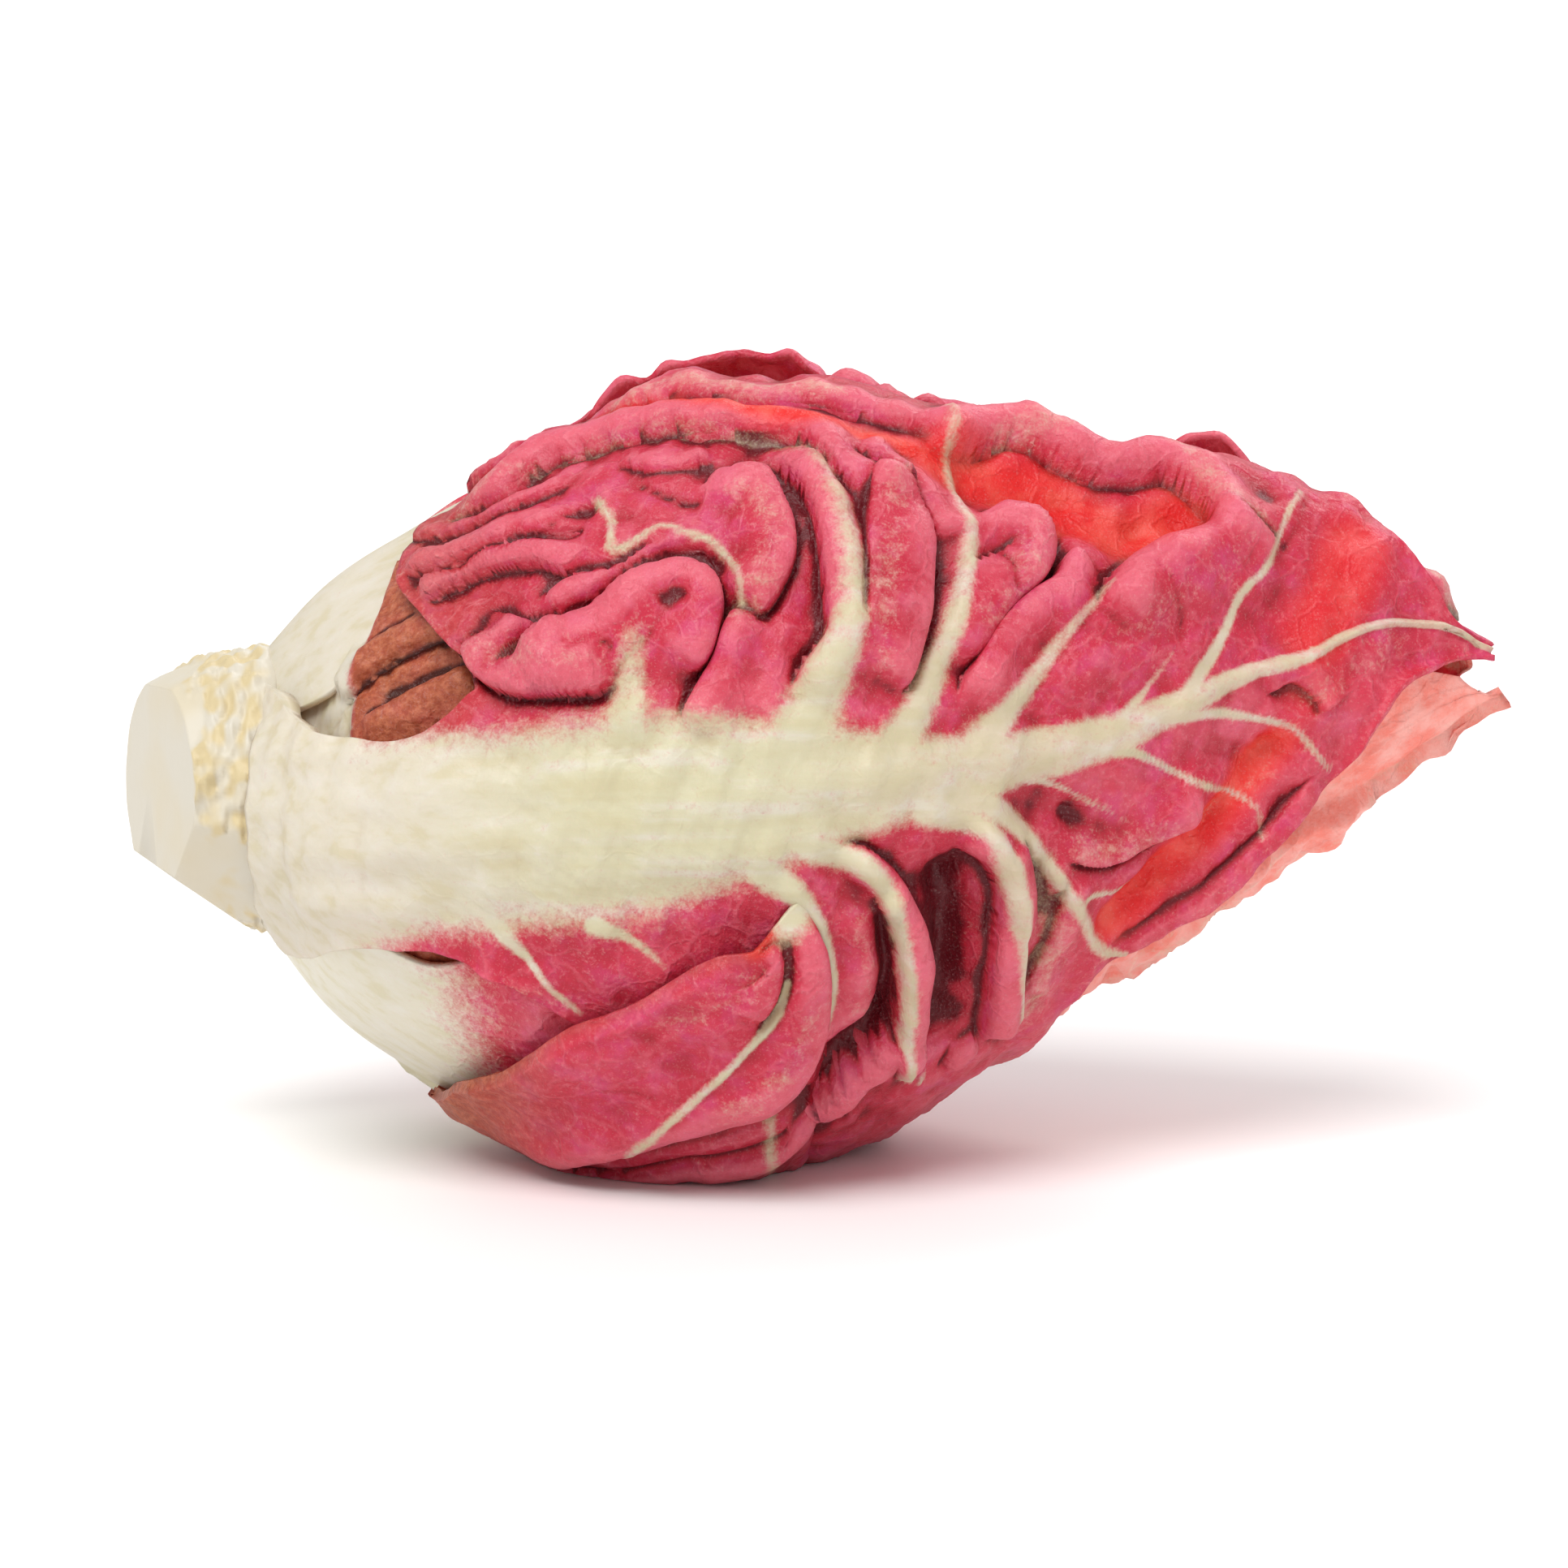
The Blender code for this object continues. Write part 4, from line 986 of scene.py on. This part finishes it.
young_tissue = leaf_tissue("radicchio_young_leaf", brown_all=0.6)
heart_tissue = leaf_tissue("radicchio_heart", pale=0.2)
inner_reach = [(0, 62, 62), (0.5, 84, 84), (1, 50, 50)]
LAYER_PITCH = 4.4
for layer in range(2, 8):
    for half, turned in (("a", 0), ("b", 180)):
        node = f"inner_leaf_{layer}{half}"
        low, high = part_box(node)
        inset, shown = LAYER_PITCH * layer, node == "inner_leaf_2a"
        rows, columns = (221, 141) if shown else (71, 61)
        young, young_u, young_v = leaf_sheet(
            node, 12 + 38 * (layer - 2) + turned, inner_reach, (low.x / MM, high.x / MM), inset, rows, columns,
            seed=40 + 2 * layer + (turned > 0), pairs=5, puff=0.8, ruffle=0.7, base=0.12, rib_half=4.0, crinkle=0.8)
        brown = 0.5
        young.lift -= 4.0 * soft(young.spots[:, 0], 24, 46)
        if shown:  # the crumpled brown blade that shows beside the midrib, above it and below it
            x, z = young.spots[:, 0], young.spots[:, 2]
            upper_window = (z > 41) & (young.spots[:, 1] < 0)
            edge_x = -50.2 + 0.4 * np.maximum(z - 55, 0) - 3.4 * (z < 35)
            brown = soft(x - edge_x, -0.5, 0.6)
            young.rib = 1 - brown
            young.lift = np.where(x > 10, young.lift, 0.25 * young.lift * brown + 1.0 * brown * upper_window)
            raised = soft(x, -56, -50) * (1 - soft(x, -36, -30)) * (young.spots[:, 1] < 0)
            young.lift += raised * np.where(upper_window, 2.6, 2.4 * soft(z, 19.5, 23))
            young.fold(seen((-51, 51.4), (-48.6, 53.6), (-45, 55.8), (-41, 57.6), (-37, 58.4), inset=inset), 1.8, wide=3.0,
                       steep=-1, roll=1.3, ends=0.03)
            young.fold(seen((-48.6, 49.2), (-44.5, 51.3), (-40.5, 53.3), (-37, 54.8), inset=inset), 1.5, wide=2.2,
                       steep=1, roll=1.1, ends=0.03)
            young.groove(seen((-49.5, 56), (-46, 58.4), (-42, 60), inset=inset), 0.9, 0.6)
            young.groove(seen((-49, 54.6), (-45.4, 56.8), (-41, 58.6), inset=inset), 0.5, 0.5, shadow=0.3)
            young.groove(seen((-47, 51.6), (-43, 53.4), (-39, 55), inset=inset), 1.0, 0.6)
            young.fold(seen((-47, 22.6), (-44, 21.6), (-40, 22.4), (-37, 23.6), inset=inset), 0.8, wide=1.6, roll=1.0)
            young.groove(seen((-46.5, 24), (-43, 23.4), (-39.6, 24.4), inset=inset), 0.9, 0.5)
            young.rumple(3.6, 0.12)
        tissue = young_tissue if layer < 5 else heart_tissue
        finished_leaf(node, young, brown, 0.6, tissue)



def closed_rings(name, rings, tissue):
    """A mesh through rings of points, closed by a point at each end. tissue is four numbers at each spot."""
    count, around_count = rings.shape[:2]
    index = np.arange(count * around_count).reshape(count, around_count)
    beside = np.roll(index, -1, axis=1)
    four = np.stack([index[:-1], beside[:-1], beside[1:], index[1:]], axis=-1).reshape(-1, 4)
    first, last = count * around_count, count * around_count + 1
    three = [(first, b, a) for a, b in zip(index[0], beside[0])] + [(last, a, b) for a, b in zip(index[-1], beside[-1])]
    spots = np.concatenate([rings.reshape(-1, 3), rings[:1].mean(axis=1), rings[-1:].mean(axis=1)]) * MM
    mesh = bpy.data.meshes.new(name)
    mesh.from_pydata(spots.tolist(), [], four.tolist() + [[int(v) for v in face] for face in three])
    colour = np.concatenate([tissue.reshape(-1, 4), tissue[:1].mean(axis=1), tissue[-1:].mean(axis=1)])
    layer = mesh.attributes.new("tissue", "FLOAT_COLOR", "POINT")
    layer.data.foreach_set("color", colour.astype(np.float32).ravel())
    return mesh


low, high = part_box("heart_bud")
low, high = low / MM, high / MM
bud_along = np.linspace(0.01, 0.99, 61)[:, None]
bud_turn = np.linspace(0, 2 * math.pi, 48, endpoint=False)[None]
bud_radius = (high.z - low.z) / 2 * np.sin(math.pi * bud_along) ** 0.7 * (1 - 0.25 * bud_along)
bud_radius = bud_radius * (1 + 0.08 * np.cos(5 * bud_turn + 5 * bud_along))
bud = np.stack([low.x + (high.x - low.x) * bud_along + 0 * bud_turn, bud_radius * np.cos(bud_turn),
                (low.z + high.z) / 2 + bud_radius * np.sin(bud_turn)], axis=-1)
bud_mesh = closed_rings("heart_bud", bud, np.tile([0.2, 0.5, 0.5, 0.0], (61, 48, 1)))
heart = placed("heart_bud_finished", bud_mesh, heart_tissue, "heart_bud")

# ---------------------------------------------------------------------------------------------------------------
# The stem.
# The stub that the leaves grew from, cut off slanting with a knife: a smooth pale cut face, and behind it a rough
# straw-yellow ring of scars where older leaves were broken off. Its core runs on into the head.

STEM_AXIS = 41.9
STEM_OUTLINE = np.array([(-80.5, 9.6), (-78, 11.2), (-75, 12.6), (-71, 13.9), (-67, 14.8), (-64, 15.5), (-62, 15.9), (-60.8, 15.3),
                         (-60, 13.2), (-59, 11), (-56, 9.6), (-47, 7.2), (-36, 4.4), (-24, 2.0), (-20.4, 0.6)])
# Knife strokes: the way each faces, and a spot on it.
STROKES = [((-0.93, -0.36, 0.03), (-75.4, 0, 42)), ((-0.55, -0.18, -0.8), (-73.6, -3, 32.2)),
           ((-0.5, -0.12, 0.84), (-74.5, -3, 53.4)), ((-0.9, -0.3, -0.5), (-77.4, -3, 37.2)),
           ((-0.3, -0.75, -0.55), (-70, -9.6, 33.6))]

stem_x = np.concatenate([np.linspace(-80.5, -60, 110), np.linspace(-59.6, -20.4, 40)])[:, None]
stem_turn = np.linspace(0, 2 * math.pi, 200, endpoint=False)[None]
ring = np.stack([stem_x + 0 * stem_turn, np.cos(stem_turn) + 0 * stem_x, np.sin(stem_turn) + 0 * stem_x], axis=-1)
draw = np.random.default_rng(77)


def wobble(points, size, count=10):
    """Smooth random numbers, about -1 to 1: waves in random directions, added in pairs of products."""
    turn = draw.normal(size=(2 * count, 3))
    turn /= np.linalg.norm(turn, axis=1, keepdims=True)
    waves = np.sin(points @ turn.T * (2 * math.pi / size) + draw.uniform(0, 2 * math.pi, 2 * count))
    return (waves[..., ::2] * waves[..., 1::2]).sum(-1) * 1.3 / math.sqrt(count)


stem_radius = np.interp(stem_x, *STEM_OUTLINE.T)
rough_place = ring * [1, 15, 15]
scar_end = -71.0 + 2.2 * wobble(rough_place * [0, 1, 1], 14) + 1.0 * wobble(rough_place * [0, 1, 1], 5)
scar = soft(stem_x, scar_end - 0.6, scar_end + 0.8) * (1 - soft(stem_x, -63.4, -61))
rough = 0.55 * np.abs(wobble(rough_place, 6)) + 0.35 * wobble(rough_place, 3) + 0.16 * wobble(rough_place, 1.5)
stem_radius = stem_radius + scar * (0.3 + 0.75 * rough) + 0.12 * wobble(rough_place, 12)
stem_spots = np.stack([ring[..., 0], stem_radius * ring[..., 1], STEM_AXIS + stem_radius * ring[..., 2]], axis=-1)
for way, spot in STROKES:
    way = np.array(way) / np.linalg.norm(way)
    off = np.maximum((stem_spots - spot) @ way, 0)
    stem_spots = stem_spots - off[..., None] * way * (stem_x < -62)[..., None]
    scar = scar * (1 - 0.75 * soft(off, 0.0, 0.6))
straw = np.clip(scar * (0.55 + 0.6 * wobble(rough_place, 4)), 0, 1)
stem_tissue = np.stack([straw, np.clip(0.5 + 0.8 * scar * rough, 0, 1), 0 * straw, 0 * straw], axis=-1)
stem_mesh = closed_rings("stem", stem_spots, stem_tissue)

stem_paint = bpy.data.materials.new("radicchio_stem")
nodes, links, stem_shader, _ = shader_of(stem_paint)
place = nodes.new("ShaderNodeTexCoord").outputs["Object"]
tissue = nodes.new("ShaderNodeAttribute")
tissue.attribute_name = "tissue"
split = nodes.new("ShaderNodeSeparateColor")
links.new(tissue.outputs["Color"], split.inputs[0])
patches = nodes.new("ShaderNodeTexNoise")
patches.inputs["Scale"].default_value = 260
patches.inputs["Detail"].default_value = 5
links.new(place, patches.inputs["Vector"])
faint = nodes.new("ShaderNodeTexNoise")
faint.inputs["Scale"].default_value = 90
links.new(place, faint.inputs["Vector"])
face = nodes.new("ShaderNodeMix")
face.data_type = "RGBA"
face.inputs[6].default_value = (0.61, 0.565, 0.47, 1)
face.inputs[7].default_value = (0.61, 0.54, 0.40, 1)
face_share = nodes.new("ShaderNodeMapRange")
face_share.inputs["From Min"].default_value = 0.42
face_share.inputs["From Max"].default_value = 0.7
links.new(faint.outputs["Fac"], face_share.inputs["Value"])
links.new(face_share.outputs["Result"], face.inputs[0])
straw_share = nodes.new("ShaderNodeMath")
straw_share.operation = "MULTIPLY_ADD"
straw_share.inputs[1].default_value = 0.9
links.new(patches.outputs["Fac"], straw_share.inputs[0])
straw_low = nodes.new("ShaderNodeMath")
straw_low.operation = "SUBTRACT"
straw_low.inputs[1].default_value = 0.75
links.new(split.outputs[0], straw_low.inputs[0])
links.new(straw_low.outputs[0], straw_share.inputs[2])
straw_ramp = nodes.new("ShaderNodeMapRange")
straw_ramp.inputs["From Min"].default_value = -0.15
straw_ramp.inputs["From Max"].default_value = 0.45
links.new(straw_share.outputs[0], straw_ramp.inputs["Value"])
skin_mix = nodes.new("ShaderNodeMix")
skin_mix.data_type = "RGBA"
links.new(straw_ramp.outputs["Result"], skin_mix.inputs[0])
links.new(face.outputs[2], skin_mix.inputs[6])
skin_mix.inputs[7].default_value = (0.60, 0.49, 0.28, 1)
links.new(skin_mix.outputs[2], stem_shader.inputs["Base Color"])
stem_shader.inputs["Roughness"].default_value = 0.5
stem_bump = nodes.new("ShaderNodeBump")
stem_bump.inputs["Strength"].default_value = 0.4
stem_bump.inputs["Distance"].default_value = 0.0004
links.new(patches.outputs["Fac"], stem_bump.inputs["Height"])
links.new(stem_bump.outputs["Normal"], stem_shader.inputs["Normal"])

stem = placed("stem_finished", stem_mesh, stem_paint, "stem_core")
